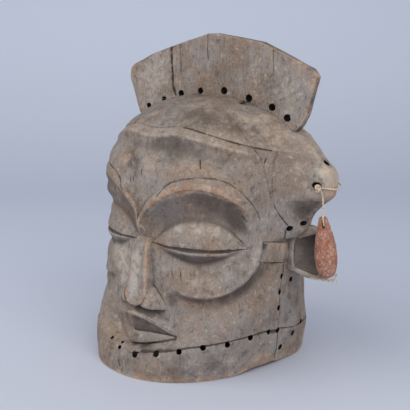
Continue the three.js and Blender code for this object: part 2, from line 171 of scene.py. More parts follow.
def hull(bm, points):
    """Adds the convex block around some points, given in millimetres."""
    verts = [bm.verts.new(Vector(p) * MM) for p in points]
    made = bmesh.ops.convex_hull(bm, input=verts)
    loose = {v for v in made["geom_interior"] + made["geom_unused"] if isinstance(v, bmesh.types.BMVert)}
    bmesh.ops.delete(bm, geom=list(loose), context="VERTS")


def prism(outline, push):
    """A flat-sided block: an outline of corner points in millimetres, pushed along a direction."""
    bm = bmesh.new()
    face = bm.faces.new([bm.verts.new(Vector(p) * MM) for p in outline])
    pushed = bmesh.ops.extrude_face_region(bm, geom=[face])
    moved = [v for v in pushed["geom"] if isinstance(v, bmesh.types.BMVert)]
    bmesh.ops.translate(bm, vec=Vector(push) * MM, verts=moved)
    bmesh.ops.recalc_face_normals(bm, faces=bm.faces)
    return bm


def both_sides(points):
    return [(side * x, y, z) for x, y, z in points for side in (1, -1)]


# Strings: a two-ply twist along a route

def spline(route, spacing):
    """Points at an even spacing on a smooth curve through the route."""
    route = np.asarray(route, dtype=float)
    ends = np.vstack([2 * route[0] - route[1], route, 2 * route[-1] - route[-2]])
    fine = []
    for a, b, c, d in zip(ends, ends[1:], ends[2:], ends[3:]):
        t = np.linspace(0, 1, 24, endpoint=False)[:, None]
        bent, swung = 2 * a - 5 * b + 4 * c - d, 3 * b - a - 3 * c + d
        fine.append(0.5 * (2 * b + (c - a) * t + bent * t ** 2 + swung * t ** 3))
    fine = np.vstack(fine + [route[-1:]])
    along = np.append(0, np.cumsum(np.linalg.norm(np.diff(fine, axis=0), axis=1)))
    even = np.linspace(0, along[-1], max(2, round(along[-1] / spacing) + 1))
    return np.stack([np.interp(even, along, fine[:, k]) for k in range(3)], axis=1), along[-1]


def tube(name, centres, radius, sides, lobes=0.0, turns_per_mm=0.0, taper=None):
    """A tube with closed ends on its centre points, in metres; lobes is how far its plies stand apart."""
    centres = np.asarray(centres)
    made, column, row = grid(name, sides, len(centres) - 1)
    ahead = np.gradient(centres, axis=0)
    ahead /= np.linalg.norm(ahead, axis=1)[:, None]
    side = np.zeros_like(ahead)
    last = np.array([0.3, 0.5, 0.81])
    for i, way in enumerate(ahead):
        last = last - way * last.dot(way)
        last /= np.linalg.norm(last)
        side[i] = last
    up = np.cross(ahead, side)
    run = np.append(0, np.cumsum(np.linalg.norm(np.diff(centres, axis=0), axis=1))) / MM
    angle = column % sides * 2 * math.pi / sides
    twist = angle - 2 * math.pi * turns_per_mm * run[row]
    size = radius * (1 - lobes + lobes * np.abs(np.cos(twist)))
    if taper is not None:
        size = size * taper[row]
    points = centres[row] + size[:, None] * (np.cos(angle)[:, None] * side[row]
                                             + np.sin(angle)[:, None] * up[row])
    place(made.data, points)
    return close_skin(made)


HORN_STRING = [
    (159.6, 25.8, 212.6), (161.4, 28.4, 214.8), (164, 31.6, 215.4), (167.4, 34.8, 215), (170.9, 38, 214.4),
    (172.4, 41.8, 214), (172, 46.4, 214), (170.2, 52.6, 215), (167, 57.2, 216.6), (162.6, 59.4, 217.8),
    (158.6, 59.4, 218.3), (157.3, 55, 218.4), (157.3, 46, 218.4), (157.3, 34, 218.4), (157.5, 28.4, 218.6),
    (158.8, 25.8, 218), (161.2, 26.6, 216), (162.3, 28.4, 213), (162.8, 30, 209), (163.2, 31.4, 204),
    (163.6, 31.8, 196), (164, 31.4, 189), (164.8, 30.6, 184.5), (165.7, 29.9, 181), (166.2, 30.2, 177.5),
    (165.2, 32, 174)]
TAIL_STRING = [
    (174.4, 45.6, 119.4), (173.9, 43.8, 115.8), (171, 41.2, 112.8), (165.5, 39, 111.4), (158, 37.8, 111),
    (150.4, 36.8, 110.6), (144.5, 36.2, 110.2)]
STRING_DIAMETER = 2.0
STRING_SPACING = 0.55
# How far the two plies of the string stand apart, and their turns in a millimetre
TWO_PLY = {"lobes": 0.2, "turns_per_mm": 0.16}


def make_strings():
    """Both strings, with their centre points and lengths in metres."""
    made = {}
    for name, route in (("earring_string_twist", HORN_STRING), ("earring_tail_twist", TAIL_STRING)):
        centres, length = spline(route, STRING_SPACING)
        piece = tube(name, centres * MM, STRING_DIAMETER / 2 * MM, 12, **TWO_PLY)
        made[name] = (piece, centres * MM, length * MM)
    return made


KNOT_AT, KNOT_RADIUS = (160.4, 25.6, 215.6), 1.15


def make_knot():
    """The knot at the horn's hole: a trefoil of the same string, drawn tight."""
    turn = np.linspace(0, 2 * math.pi, 90)
    loops = (np.sin(turn) + 2 * np.sin(2 * turn), np.cos(turn) - 2 * np.cos(2 * turn),
             -1.3 * np.sin(3 * turn))
    flat = np.stack(loops, axis=-1)
    right, up, out = np.array(CAMERA_RIGHT), np.array((-0.17, 0.16, 0.97)), np.array((0.706, -0.67, 0.23))
    centres = np.array(KNOT_AT) + flat @ np.stack([0.85 * right, 1.25 * up, 1.2 * out])
    return tube("string_knot", centres * MM, KNOT_RADIUS * MM, 10, **TWO_PLY)


# Loose ends of the frayed string under the tail: start and end
FIBRES = [
    ((173.6, 43.2, 115.2), (175.2, 44.8, 108.6)), ((172.6, 42.4, 113.8), (172.6, 43.6, 107.4)),
    ((171, 41.4, 112.8), (171.8, 40.6, 106.8)), ((169.4, 40.6, 112.2), (166.8, 40.8, 107.6)),
    ((172, 42, 113.2), (176.6, 42.8, 110.8)), ((167.6, 39.8, 111.8), (168.6, 39, 107.6))]


def make_fibres():
    """The loose fibres of the tail, each a thin bowed hair."""
    bm = bmesh.new()
    for i, (start, end) in enumerate(FIBRES):
        a, b = np.array(start), np.array(end)
        bow = np.array((0.9 * (-1) ** i, 0.8, 0.6))
        share = np.linspace(0, 1, 12)[:, None]
        route = mix(a, b, share) + bow * share * (1 - share) * 3
        hair = tube("fibre", route * MM, 0.42 * MM, 6, taper=np.linspace(1, 0.5, 12))
        bm.from_mesh(hair.data)
        bpy.data.objects.remove(hair)
    return link("frayed_fibres", bm)


# Pendant: a scaly fruit stone with a slot where the string goes in

PENDANT_TOP, PENDANT_FOOT = Vector((161.9, 34, 184)), Vector((167.4, 38.5, 115.2))
PENDANT_PROFILE = [
    (0.05, 0), (2.4, 0.002), (4.5, 0.01), (8.4, 0.05), (11.3, 0.16), (12.6, 0.345), (11.8, 0.52), (9.9, 0.67),
    (7, 0.84), (4.6, 0.965), (3.4, 0.994), (0.05, 1)]
PENDANT_LENGTH = 69.2
# Way from the pendant towards the slot and the smoother strip, in its own turn about its length
SLOT_TURN, STRIP_TURN = -0.92, -2.5
SLOT_HEIGHT = 61.5
# Size of its scales round it and along it, and of its own grid
SCALE_ROUND, SCALE_TALL = 3.4, 5.6
PENDANT_SIDES, PENDANT_ROWS = 96, 150


def make_pendant():
    """The fruit stone, its scales standing out from a turned profile."""
    made, column, row = grid("fruit_stone_pendant", PENDANT_SIDES, PENDANT_ROWS)
    turn = column / PENDANT_SIDES * 2 * math.pi - math.pi
    share = row / PENDANT_ROWS
    radii, heights = np.array(PENDANT_PROFILE).T
    run = np.append(0, np.cumsum(np.hypot(np.diff(radii), np.diff(heights * PENDANT_LENGTH))))
    radius, height = (np.interp(share * run[-1], run, k) for k in (radii, heights * PENDANT_LENGTH))
    flat_way = np.stack([np.cos(turn), np.sin(turn)], axis=-1)
    scales = np.empty(len(turn))
    rough = np.empty(len(turn))
    for i, (c, n, h) in enumerate(zip(flat_way[:, 0], flat_way[:, 1], height)):
        spot = Vector((c * SCALE_ROUND, n * SCALE_ROUND, h / SCALE_TALL))
        near = noise.voronoi(spot, distance_metric="DISTANCE", exponent=2.5)[0]
        scales[i] = min(1.0, (near[1] - near[0]) * 1.5)
        rough[i] = noise.noise(spot * 2.7)
    from_strip, from_slot = (np.angle(np.exp(1j * (turn - at))) for at in (STRIP_TURN, SLOT_TURN))
    strip = np.exp(-(from_strip / 0.33) ** 2) * (height > 6)
    slot = smooth(5.4 - np.hypot(from_slot * radius / 0.46, height - SLOT_HEIGHT), 0, 1.4)
    ends = smooth(radius, 0.4, 3)
    lift = (0.6 * scales - 0.4 + 0.5 * rough) * (1 - 0.8 * strip) * ends - 3.2 * slot * ends
    reach = radius + lift
    low = Vector(PENDANT_FOOT)
    up = (PENDANT_TOP - low).normalized()
    side = (Vector((1, 0, 0)) - up * up.x).normalized()
    other = up.cross(side)
    shape = (np.outer(reach * flat_way[:, 0], side) + np.outer(reach * flat_way[:, 1], other)
             + np.outer(height, up))
    place(made.data, (shape + np.array(low)) * MM)
    set_attribute(made.data, "scale", scales)
    set_attribute(made.data, "smoothed", strip)
    set_attribute(made.data, "slot", slot)
    return close_skin(made, 1e-6)


# The carved head: a radius about its axis for every angle (from the front) and height

HEIGHT = 380
DOME_TOP, DOME_START, DOME_POWER, DOME_RINGS = 307, 200, 2.25, 22
# The axis stands this far behind the middle, and heights on the face go with u, the way round it from the
# front on a plain head of radius ARC.
AXIS_BACK = 10
ARC = 113
CHEEK_AT, CHEEK_LEVEL, CHEEK_WIDE, CHEEK_TALL, CHEEK_SPREAD = 84, 151, 70, 53, 55
LIP_HALF = 62
# Plans by height: half width, reach to the front and to the back, and how square the front and the back are
FACE_PLAN = {
    "height": [33, 52, 77, 115, 150, 200, 260, 320], "half": [112.5, 113, 114.5, 116, 118, 121, 122, 122],
    "front": [105, 103, 100, 98, 98, 99, 100, 100], "back": [115, 115, 115, 115, 115, 115, 114, 112],
    "front_power": [3.1, 3.2, 3.0, 2.9, 2.8, 2.7, 2.4, 2.2],
    "back_power": [2.7, 2.6, 2.45, 2.3, 2.3, 2.3, 2.3, 2.3]}
COLLAR_PLAN = {
    "height": [0, 0.45, 1], "half": [103.5, 107.5, 112], "front": [135, 133, 126], "back": [113, 114, 115],
    "front_power": [2.15, 2.2, 2.3], "back_power": [3.05, 3, 2.9]}
# Height of the collar's upper edge by the angle from the front, and how far the cove above it reaches
COLLAR_TURNS = [
    -180, -120, -90, -60, -34, -22, -10, -2, 8.5, 21.5, 33.7, 45.8, 59, 73.5, 88, 97, 112, 125, 180]
COLLAR_EDGE = [40, 38, 44, 42, 38, 36, 32, 26, 25, 30, 37, 42, 43, 45.5, 46, 44, 38, 38, 40]
COVE_TURNS, COVE_HEIGHTS = [-34, -12, -3, 11, 22, 36], [26, 12, 8, 8, 16, 32]


def where_on(points):
    """Angle from the front, distance from the axis, and place of each point, in millimetres."""
    x, y, z = points.T / MM
    return np.arctan2(x, AXIS_BACK - y), np.hypot(x, AXIS_BACK - y), x, y, z


def plan_radius(angle, height, plan):
    """Radius of a plan that is rounder or squarer at the front and the back."""
    turn = np.degrees(np.abs(angle))
    value = {name: np.interp(height, plan["height"], plan[name]) for name in plan}
    power = mix(value["front_power"], value["back_power"], smooth(turn, 60, 120))
    across = np.abs(np.sin(angle)) / value["half"]
    along = np.abs(np.cos(angle)) / np.where(np.cos(angle) > 0, value["front"], value["back"])
    return (across ** power + along ** power) ** (-1 / power)


def collar_edge(angle):
    """Height of the collar's upper edge."""
    return np.interp(np.degrees(angle), COLLAR_TURNS, COLLAR_EDGE)


def head_radius(angle, z):
    """The plain head and collar without their carving."""
    edge = collar_edge(angle)
    above = limit((z - edge) / np.interp(np.degrees(angle), COVE_TURNS, COVE_HEIGHTS))
    face, collar = plan_radius(angle, z, FACE_PLAN), plan_radius(angle, z / edge, COLLAR_PLAN)
    plain = mix(face, collar, (1 - above) ** 2.2)
    fuller = 6.5 * np.exp(-((angle + 0.8) / 0.45) ** 2) * (1 - smooth(z, 30, 110))
    rise = np.maximum(0, (z - DOME_START) / (DOME_TOP - DOME_START))
    shrink = np.maximum(0, 1 - rise ** DOME_POWER) ** (1 / DOME_POWER)
    turn = np.degrees(np.abs(angle))
    behind = (1.6 * smooth(turn, 95, 97) * (1 - smooth(turn, 118, 135))
              * smooth(z, 2, 10) * (1 - smooth(z, 118, 128)))
    return (plain + fuller - behind) * shrink


# Lines of the eye, all as heights for a way u round the face: the brow's lower edge and top, the upper lid's
# top, the lower lid's foot and the slit between them

def brow_edge(u):
    outer = 151 + 65 * np.sqrt(np.maximum(0, 1 - ((u - 80) / 67) ** 2))
    inner = 215.8 - 34 * (np.maximum(80 - u, 0) / 72) ** 1.6 - 11 * np.exp(-u / 3.5)
    return np.where(u > 80, outer, inner)


def brow_top(u):
    return brow_edge(u) + np.interp(
        u, [0, 41, 65, 87, 108, 126, 138, 148], [11, 12, 11, 12.3, 17, 22, 25, 40])


def lid_top(u):
    away = np.where(u < 88, (88 - u) / 72, (u - 88) / 49)
    return 150 + 30 * (1 - np.minimum(away, 1) ** np.where(u < 88, 2, 2.4))


def lid_foot(u):
    away = np.where(u < 85, (85 - u) / 69, (u - 85) / 51)
    return 151 - 19 * (1 - np.minimum(away, 1) ** 1.6)


def eye_slit(u):
    return 148.3 + 1.5 * smooth(u, 100, 136)


def cheek_edge(u):
    return CHEEK_LEVEL - CHEEK_TALL * np.sqrt(np.maximum(0, 1 - ((u - CHEEK_AT) / CHEEK_WIDE) ** 2))


def cheek_share(u, z):
    """0 in the middle of the cheek's mound and 1 on its foot."""
    return np.hypot((u - CHEEK_AT) / CHEEK_WIDE, (z - CHEEK_LEVEL) / CHEEK_TALL)


def eye_relief(u, z):
    """How far the brow, cove, lids and cheek stand out from the plain head."""
    brow, lid, slit, lower = brow_edge(u), lid_top(u), eye_slit(u), lid_foot(u)
    share = limit((z - brow) / np.maximum(brow_top(u) - brow, 1))
    band = (1.3 + 1.7 * np.sin(math.pi * share ** 0.8)) * (1 - smooth(z - brow_top(u), -3, 0.5))
    band = band * (1 - smooth(u, 134, 148))
    band = band + 3.4 * np.exp(-(u / 14) ** 2 - ((z - 170) / 13) ** 2)
    outer = 1 - smooth(u, 120, 147)
    depth = mix(8, 12, smooth(u, 10, 40)) * outer
    ridge = -mix(4.5, 0.5, smooth(u, 14, 55)) * outer - 1.5 * smooth(u, 105, 130) * outer
    foot = mix(4, 7, smooth(u, 16, 60)) * mix(0.3, 1, 1 - smooth(u, 105, 138)) * outer
    cove = mix(0.6, -depth, 1 - (1 - limit((brow - z) / np.maximum(brow - lid, 1))) ** 2.1)
    upper = -depth + (ridge + depth) * np.sin(limit((lid - z) / np.maximum(lid - slit, 1)) * math.pi / 2)
    under = ridge + 0.2 + (-foot - ridge) * smooth((slit - z) / np.maximum(slit - lower, 1), 0.22, 1.0)
    crown = mix(-2.5, 1.2, smooth(u, 25, 75))
    cheek, start = cheek_share(u, z), cheek_share(u, lower)
    mound = -foot + (crown + foot) * np.sin(
        limit((cheek - start) / np.maximum(1 - start, 0.05)) * math.pi / 2)
    out = (cheek - 1) * CHEEK_SPREAD
    step = smooth(u, 40, 85) * (4.5 * smooth(out, 8, 40) - 6 * smooth(out, 0, 7))
    plain = (crown + step) * (1 - smooth(out, 10, 60)) * (1 - smooth(z, 135, 158))
    roll = 2.6 * np.exp(-((u - 149) / 6.5) ** 2 - ((z - 148) / 15) ** 2)
    parts = [z >= brow, (z >= lid) & (u < 147), (z >= slit) & (u < 137), (z >= lower) & (u < 137), cheek < 1]
    return roll + np.select(parts, [band, cove, upper, under, mound], plain)


def lip_lines(u):
    """Heights of the upper lip's edge, of the line where the lips meet and of the lower lip's edge."""
    share = limit(1 - u / LIP_HALF)
    bulge = share + 0.5 * share * (1 - share)
    return 50 + 17 * bulge, 50 - 5 * share, 50 - 20 * bulge


def lip_relief(angle, u, z, radius, relief):
    """The mouth, which stands out to a prow with two hollowed facets."""
    share = limit(1 - u / LIP_HALF)
    face = (AXIS_BACK + 103.5) / (np.cos(angle) + 0.246 * np.abs(np.sin(angle)))
    prow = relief + (np.maximum(face - radius, relief) - relief) * smooth(LIP_HALF - u, 0, 9)
    top, part, bottom = lip_lines(u)
    dip = np.where(angle > 0, 4.5, mix(2.8, 4.5, smooth(-u, -12, 0))) * np.sqrt(share)
    above = mix(prow, relief, limit((z - top) / 10))
    upper = prow - dip * (1 - limit((z - part) / np.maximum(top - part, 0.01)))
    lower = prow - dip * (1 - limit((part - z) / np.maximum(part - bottom, 0.01))) ** 1.3
    below = mix(prow, relief, limit((bottom - z) / 0.4))
    lips = np.select([z >= top, z >= part, z >= bottom], [above, upper, lower], below)
    return np.where((u < LIP_HALF) & (z > 28) & (z < 82), lips, relief)


def hairline_height(turn):
    return 275.5 + 2.5 * smooth(turn, 5, 25) - 27 * smooth(turn, 25, 100)


def hairline_relief(turn, z):
    """The step of the hairline, with a roll and a broad hollow below it."""
    above = z - hairline_height(turn)
    roll = 4.0 * np.exp(-((above + 7) / 5) ** 2) * (1 - smooth(turn, 60, 90))
    hollow = 4.6 * np.exp(-((above + 24) / 11) ** 2) * (1 - smooth(turn, 45, 75))
    cap = 1.8 * smooth(above, 0, 1.6) * (1 - smooth(above, 15, 40))
    return (roll - hollow + cap) * (1 - smooth(turn, 100, 125))


# How far a horn reaches from the axis by height
HORN_HEIGHTS = [
    149, 155, 163, 170, 177.5, 185.6, 194, 201, 206, 215, 226, 232, 237.3, 241, 256, 270, 278.4, 290, 303,
    311]
HORN_REACHES = [
    100, 132, 139, 142, 144, 149, 157.5, 167, 171.5, 173, 173, 170.5, 166.5, 161.5, 149, 136, 123, 103, 60,
    20]


def horn_relief(turn, z, radius):
    spread = np.interp(z, [150, 185, 205, 245, 280, 300], [8, 8.5, 9, 12, 20, 28])
    share = 1.15 * np.exp(-np.abs((turn - 102) / spread) ** 1.3)
    return np.maximum(0, np.interp(z, HORN_HEIGHTS, HORN_REACHES) - radius) * np.minimum(share, 1)


# Fuller and flatter places of the wearer's right side: angle, height, half width, half height and amount
SIDE_FORMS = [
    (-51, 193, 13, 10, 8.5), (-50, 176, 13, 7, 3.5), (-51, 123, 15, 11, 3), (-51, 88, 15, 8, 5),
    (-54, 243, 16, 8, 4.5), (-54, 265, 14, 8, -3), (-50, 219, 12, 7, -2), (-64, 289, 24, 13, -5)]


def side_forms(angle, z):
    turn = np.degrees(angle)
    return sum(much * np.exp(-((turn - at) / wide) ** 2 - ((z - level) / tall) ** 2)
               for at, level, wide, tall, much in SIDE_FORMS)


def outer_radius(angle, z):
    """The carved skin: its distance from the axis."""
    turn, u = np.degrees(np.abs(angle)), np.abs(angle) * ARC
    plain = head_radius(angle, z)
    relief = lip_relief(angle, u, z, plain, eye_relief(u, z))
    carved = plain + (relief + hairline_relief(turn, z) + side_forms(angle, z)) * smooth(DOME_TOP - z, 0, 12)
    return carved + horn_relief(turn, z, carved)


def around(angle, radius, z):
    return np.stack([radius * np.sin(angle), AXIS_BACK - radius * np.cos(angle), z], axis=-1)


def row_heights(angle):
    """Heights of the rows of points for every column, gathered on the lines of the carving."""
    turn, u = np.degrees(np.abs(angle)), np.abs(angle) * ARC
    top, part, bottom = lip_lines(u)
    plain = smooth(turn, 70, 84)
    collar = collar_edge(angle)
    cheek = mix(np.clip(cheek_edge(u), 98, 124), 104, plain)
    foot = mix(np.minimum(lid_foot(u), 145), 130, plain)
    slit = mix(eye_slit(u), 152, plain)
    lid = mix(np.maximum(lid_top(u), 157), 172, plain)
    brow = mix(np.where(u > 130, np.maximum(brow_edge(u), 178), brow_edge(u)), 200, plain)
    hair = hairline_height(turn)
    keys = [(12, 7), (collar, 7), (collar + 3.5, 3), (bottom - 0.4, 3), (bottom, 1), (part, 10), (top, 13),
            (np.minimum(top + 10, 80), 7), (cheek - 7, 9), (cheek, 5), (foot, 12), (slit - 0.3, 10),
            (slit + 0.6, 2), (lid, 13), (brow - 0.3, 13), (brow + 0.3, 2),
            (mix(np.minimum(brow_top(u), 232), 224, plain), 9), (hair - 26, 10), (hair - 7, 10),
            (hair, 6), (hair + 1.6, 2)]
    heights = [np.zeros_like(angle)]
    for key, steps in keys:
        last = heights[-1]
        target = np.maximum(key, last + 0.08 * steps)
        heights += [mix(last, target, k / steps) for k in range(1, steps + 1)]
    first = np.arcsin((heights[-1] - DOME_START) / (DOME_TOP - DOME_START))
    for k in range(1, DOME_RINGS + 1):
        heights.append(DOME_START + (DOME_TOP - DOME_START) * np.sin(mix(first, math.pi / 2, k / DOME_RINGS)))
    return np.array(heights)


def column_angles():
    """Angles of the columns, from the back round the face to the back again and closest on the face."""
    halves = []
    for side in (0.95, 1.5):
        half = [0.0]
        while half[-1] < 180:
            step = np.interp(half[-1], [62, 68, 112, 118], [0.8, side, side, 2.3])
            half.append(half[-1] + step)
        halves.append(np.array(half) * 180 / half[-1])
    left, right = halves
    return np.radians(np.concatenate([-right[:0:-1], left]))


def wrapped(name, angles, heights, radii, top):
    """A closed skin made of a grid that is wrapped round the axis, with a flat foot and a pole on top."""
    made, column, row = grid(name, len(angles) - 1, len(heights) - 1)
    points = around(np.broadcast_to(angles, heights.shape), radii, heights)
    points[:, -1] = points[:, 0]
    points[-1] = (0, AXIS_BACK, top)
    place(made.data, points[row, column] * MM)
    return close_skin(made)


def make_head():
    angles = column_angles()
    heights = row_heights(angles)
    return wrapped("mask", angles, heights,
                   outer_radius(np.broadcast_to(angles, heights.shape), heights), DOME_TOP)


HOLLOW_TOP = 291


def make_hollow():
    """The hollow for the wearer's head, which follows the plain form inside."""
    angles = np.radians(np.linspace(-180, 180, 91))
    levels = [-5, 0, 10, 20, 30, 70, 120, 180, 215, 240, 260, 275, 285]
    heights = np.append(np.interp(np.linspace(0, 12, 61), np.arange(13), levels), HOLLOW_TOP)
    angle, z = np.meshgrid(angles, heights)
    up = np.maximum(z, 0)
    outside = np.min([head_radius(angle, up + k) for k in (0, 8, 14, 20 * smooth(z, 180, 270))], axis=0)
    behind_eyes = 5 * smooth(z, 105, 140) * (1 - smooth(z, 215, 250))
    behind_eyes = behind_eyes * (1 - smooth(np.degrees(np.abs(angle)), 65, 95))
    radius = np.maximum(outside - mix(13, 17, smooth(z, 0, 60)) - behind_eyes, 4)
    return wrapped("hollow", angles, z, radius, HOLLOW_TOP)


# Crest board, nose, straps and ears

# The board stands upright on this plane behind the middle; its outline goes by distance across and height.
CREST_BACK = 28
CREST_CORNERS = [(-116, 264), (116, 264), (-149, 342), (150, 342)]
CREST_LEFT = [(-116, 264), (-138, 280), (-158, 325), (-156, 337), (-149, 342)]
CREST_TOP = [(-149, 342), (-114, 354.5), (-65, 367), (-8, 380), (6, 380), (77, 370), (150, 342)]
CREST_RIGHT = [(116, 264), (136, 281), (144, 293), (149, 310), (157, 334), (150, 342)]


def along(line, share):
    """Points at shares of the length of a line of corner points."""
    line = np.asarray(line, dtype=float)
    run = np.append(0, np.cumsum(np.linalg.norm(np.diff(line, axis=0), axis=1)))
    return np.stack([np.interp(share * run[-1], run, line[:, k]) for k in range(line.shape[1])], axis=-1)


def crest_half(x, z):
    """Half the board's thickness, which is less above and at the ends."""
    return (np.interp(z, [280, HEIGHT], [13, 10]) - 4 * smooth(np.abs(x), 95, 145)) / 2


def make_crest():
    """The crest board: a grid between its four outlines, given a thickness and rounded edges."""
    columns, rows = 128, 46
    bm = bmesh.new()
    bmesh.ops.create_grid(bm, x_segments=columns, y_segments=rows, size=1)
    s = np.array([(v.co.x + 1) / 2 for v in bm.verts])
    t = np.array([(v.co.y + 1) / 2 for v in bm.verts])
    low, top = along(CREST_CORNERS[:2], s), along(CREST_TOP, s)
    left, right = along(CREST_LEFT, t), along(CREST_RIGHT, t)
    corners = np.array(CREST_CORNERS)
    s, t = s[:, None], t[:, None]
    flat = ((1 - t) * low + t * top + (1 - s) * left + s * right - (1 - s) * (1 - t) * corners[0]
            - s * (1 - t) * corners[1] - (1 - s) * t * corners[2] - s * t * corners[3])
    for v, (x, z) in zip(bm.verts, flat):
        v.co = Vector((x, CREST_BACK, z)) * MM
    pushed = bmesh.ops.extrude_face_region(bm, geom=bm.faces[:])
    back = {v for v in pushed["geom"] if isinstance(v, bmesh.types.BMVert)}
    for v in bm.verts:
        half = crest_half(v.co.x / MM, v.co.z / MM)
        v.co.y = (CREST_BACK + (half if v in back else -half)) * MM
    bmesh.ops.recalc_face_normals(bm, faces=bm.faces)
    edge = [e for e in bm.edges if e.calc_face_angle(0) > 1.2]
    round_edges(bm, edge, 1.6, 3)
    return link("crest", bm)


NOSE_TIP = [
    (5, -104.8, 76.3), (10.5, -104, 78), (14.5, -102.3, 82), (16.5, -99.5, 88), (7, -83, 75.5), (14, -83, 77),
    (17.5, -83, 81), (19, -83, 88)]
NOSE_BRIDGE = [
    (16.5, -99.5, 88), (14.5, -94.5, 115), (12, -91.5, 144), (9, -85, 153), (19, -83, 88), (16.6, -80, 115),
    (14, -78, 144), (10, -77, 153)]
NOSTRIL_WING = [
    (18, -89, 100.5), (12, -92, 97.5), (25, -89, 98), (10.5, -98, 90), (32, -91.5, 92), (20, -100.5, 90),
    (39, -90.5, 86), (6, -100, 74.5), (18, -103.5, 79), (31, -99.5, 75.5), (45, -88, 75.5), (12, -80, 98),
    (7, -78, 74.5), (40, -78, 75)]
# Worn edge of the nose's front plane
NOSE_EDGE = [
    (9, -85, 153), (12, -91.5, 144), (14.5, -94.5, 115), (16.5, -99.5, 88), (14.5, -102.3, 82),
    (10.5, -104, 78), (5, -104.8, 76.3)]


def make_nose():
    """The nose: its bridge and tip in one skin, with a rounded wing at each side."""
    bm = bmesh.new()
    hull(bm, both_sides(NOSE_TIP))
    hull(bm, both_sides(NOSE_BRIDGE))
    bmesh.ops.recalc_face_normals(bm, faces=bm.faces)
    made = link("nose", bm)
    remesh(made, 1.2 * MM, 1)
    for side in (1, -1):
        bm = bmesh.new()
        hull(bm, [(side * x, y, z) for x, y, z in NOSTRIL_WING])
        bmesh.ops.recalc_face_normals(bm, faces=bm.faces)
        wing = link("wing", bm)
        remesh(wing, 1.3 * MM, 14)
        combine(made, wing, "UNION")
    return made


STRAP = [(78, 133, 155), (85, 130, 152.5), (92, 127, 150), (98, 124.5, 147.5)]


def make_strap(side):
    """Strap across the temple in front of the ear, standing a little proud."""
    points = []
    for turn, low, high in STRAP:
        for z in (low, high):
            radius = head_radius(math.radians(turn), z)
            for reach in (radius + 1.6, radius - 6):
                points.append(around(side * math.radians(turn), reach, z))
    bm = bmesh.new()
    hull(bm, points)
    round_edges(bm, bm.edges[:], 0.9, 2)
    return link("strap", bm)


EAR_PLAN = [(100, 31), (121, 31), (149, 43), (156, 48), (158, 54), (150, 61), (126, 66), (100, 66)]
EAR_OUTLINE = [
    (95, 117), (121, 115), (137, 107.5), (158, 107), (164, 113), (163, 130), (159, 150), (153, 161),
    (144, 168), (95, 172)]
EAR_SIDE = [(20, 100), (20, 172), (47, 169), (58, 159), (70, 148), (70, 100)]


def make_ear(side):
    """An ear's block: what its plan and its outlines from the front and the side have in common."""
    ear = link("ear", prism([(side * x, y, 107) for x, y in EAR_PLAN], (0, 0, 74)))
    combine(ear, link("outline", prism([(side * x, 80, z) for x, z in EAR_OUTLINE], (0, -60, 0))),
            "INTERSECT")
    combine(ear, link("side", prism([(side * 90, y, z) for y, z in EAR_SIDE], (side * 90, 0, 0))),
            "INTERSECT")
    remesh(ear, 1.5 * MM, 3)
    return ear


# The scoop in an ear: the hull of a narrow ball near the head and a tall deep one near the flap's edge
SCOOP_TURN = 32
SCOOP_BALLS = [((126, 33.5, 136), (3.5, 4, 16.5)), ((148, 41.5, 136.5), (7, 13, 24.5))]


def make_scoop(side):
    bm = bmesh.new()
    for centre, radii in SCOOP_BALLS:
        turned = Matrix.Rotation(side * math.radians(SCOOP_TURN), 4, "Z")
        turned = turned @ Matrix.Diagonal((*(Vector(radii) * MM), 1))
        shift = Matrix.Translation(Vector((side * centre[0], *centre[1:])) * MM)
        bmesh.ops.create_uvsphere(bm, u_segments=32, v_segments=22, radius=1, matrix=shift @ turned)
    wrap = bmesh.ops.convex_hull(bm, input=bm.verts)
    spare = set(wrap["geom_interior"] + wrap["geom_unused"] + wrap["geom_holes"])
    bmesh.ops.delete(bm, geom=[v for v in spare if isinstance(v, bmesh.types.BMVert)], context="VERTS")
    bmesh.ops.delete(bm, geom=[f for f in bm.faces if f not in set(wrap["geom"])], context="FACES")
    bmesh.ops.delete(bm, geom=[v for v in bm.verts if not v.link_faces], context="VERTS")
    bmesh.ops.recalc_face_normals(bm, faces=bm.faces)
    return link("scoop", bm)


# Drilled holes: angle from the front, height and radius, and how much wider than tall those of the crest are
COLLAR_HOLES = [
    (-11.3, 32.8, 1.9), (-5.3, 29.9, 1.6), (-3.6, 26.4, 2.3), (8.3, 24.6, 3.4), (21.3, 30.6, 3.2),
    (33.7, 36.9, 3.1), (45.8, 41.8, 3.1), (58.9, 42.3, 3.1), (73.3, 45.5, 3.1), (87.3, 46, 2.9),
    (96, 43.7, 3.4), (112, 31.5, 3.1), (121, 40.8, 3.1), (135, 38, 3.1), (150, 38, 3.1), (165, 39, 3.1),
    (180, 39, 3.1), (-39, 41, 3.1), (-50, 43, 3.1), (-60, 44, 3.1), (-75, 45, 3.1), (-91, 44.5, 3.1),
    (-107, 41, 3.1), (-122, 38, 3.1), (-137, 38, 3.1), (-151, 38, 3.1), (-166, 39, 3.1)]
SIDE_HOLES = [
    (94.5, 72, 3.1), (94.5, 91, 3.1), (96, 109, 3.1), (106, 101, 3.1), (102, 19, 3.1), (93.8, 167.4, 3),
    (98.6, 173, 2.9)]
CREST_HOLES = [
    (-117, 289.6, 4, 1.3), (-86.3, 299.4, 3.5, 1.3), (-54.2, 307.9, 4, 1.25), (-19.2, 312.4, 4.1, 1.2),
    (21, 314, 4.4, 1.15), (61, 307.3, 4.3, 1.2), (96.3, 299, 4.3, 1.15), (118.2, 288.5, 4.2, 1.15)]


# Holes through the tip of a horn, back to front and from above, on the wearer's left: place and way
HORN_HOLES = [((157.3, 50, 218.4), (0, 1, 0), 4.2, 90), ((158, 42, 240), (0.35, 0, 1), 3.8, 24)]
# The holes round the face lean towards this angle, and those of the collar upward.
DRILLED_FROM, COLLAR_RISE = 0.82, 0.25
# Length of a pin and how far its middle lies inside the skin: the foremost holes don't go through
BLIND_PIN, THROUGH_PIN = (9, 1), (38, 10)


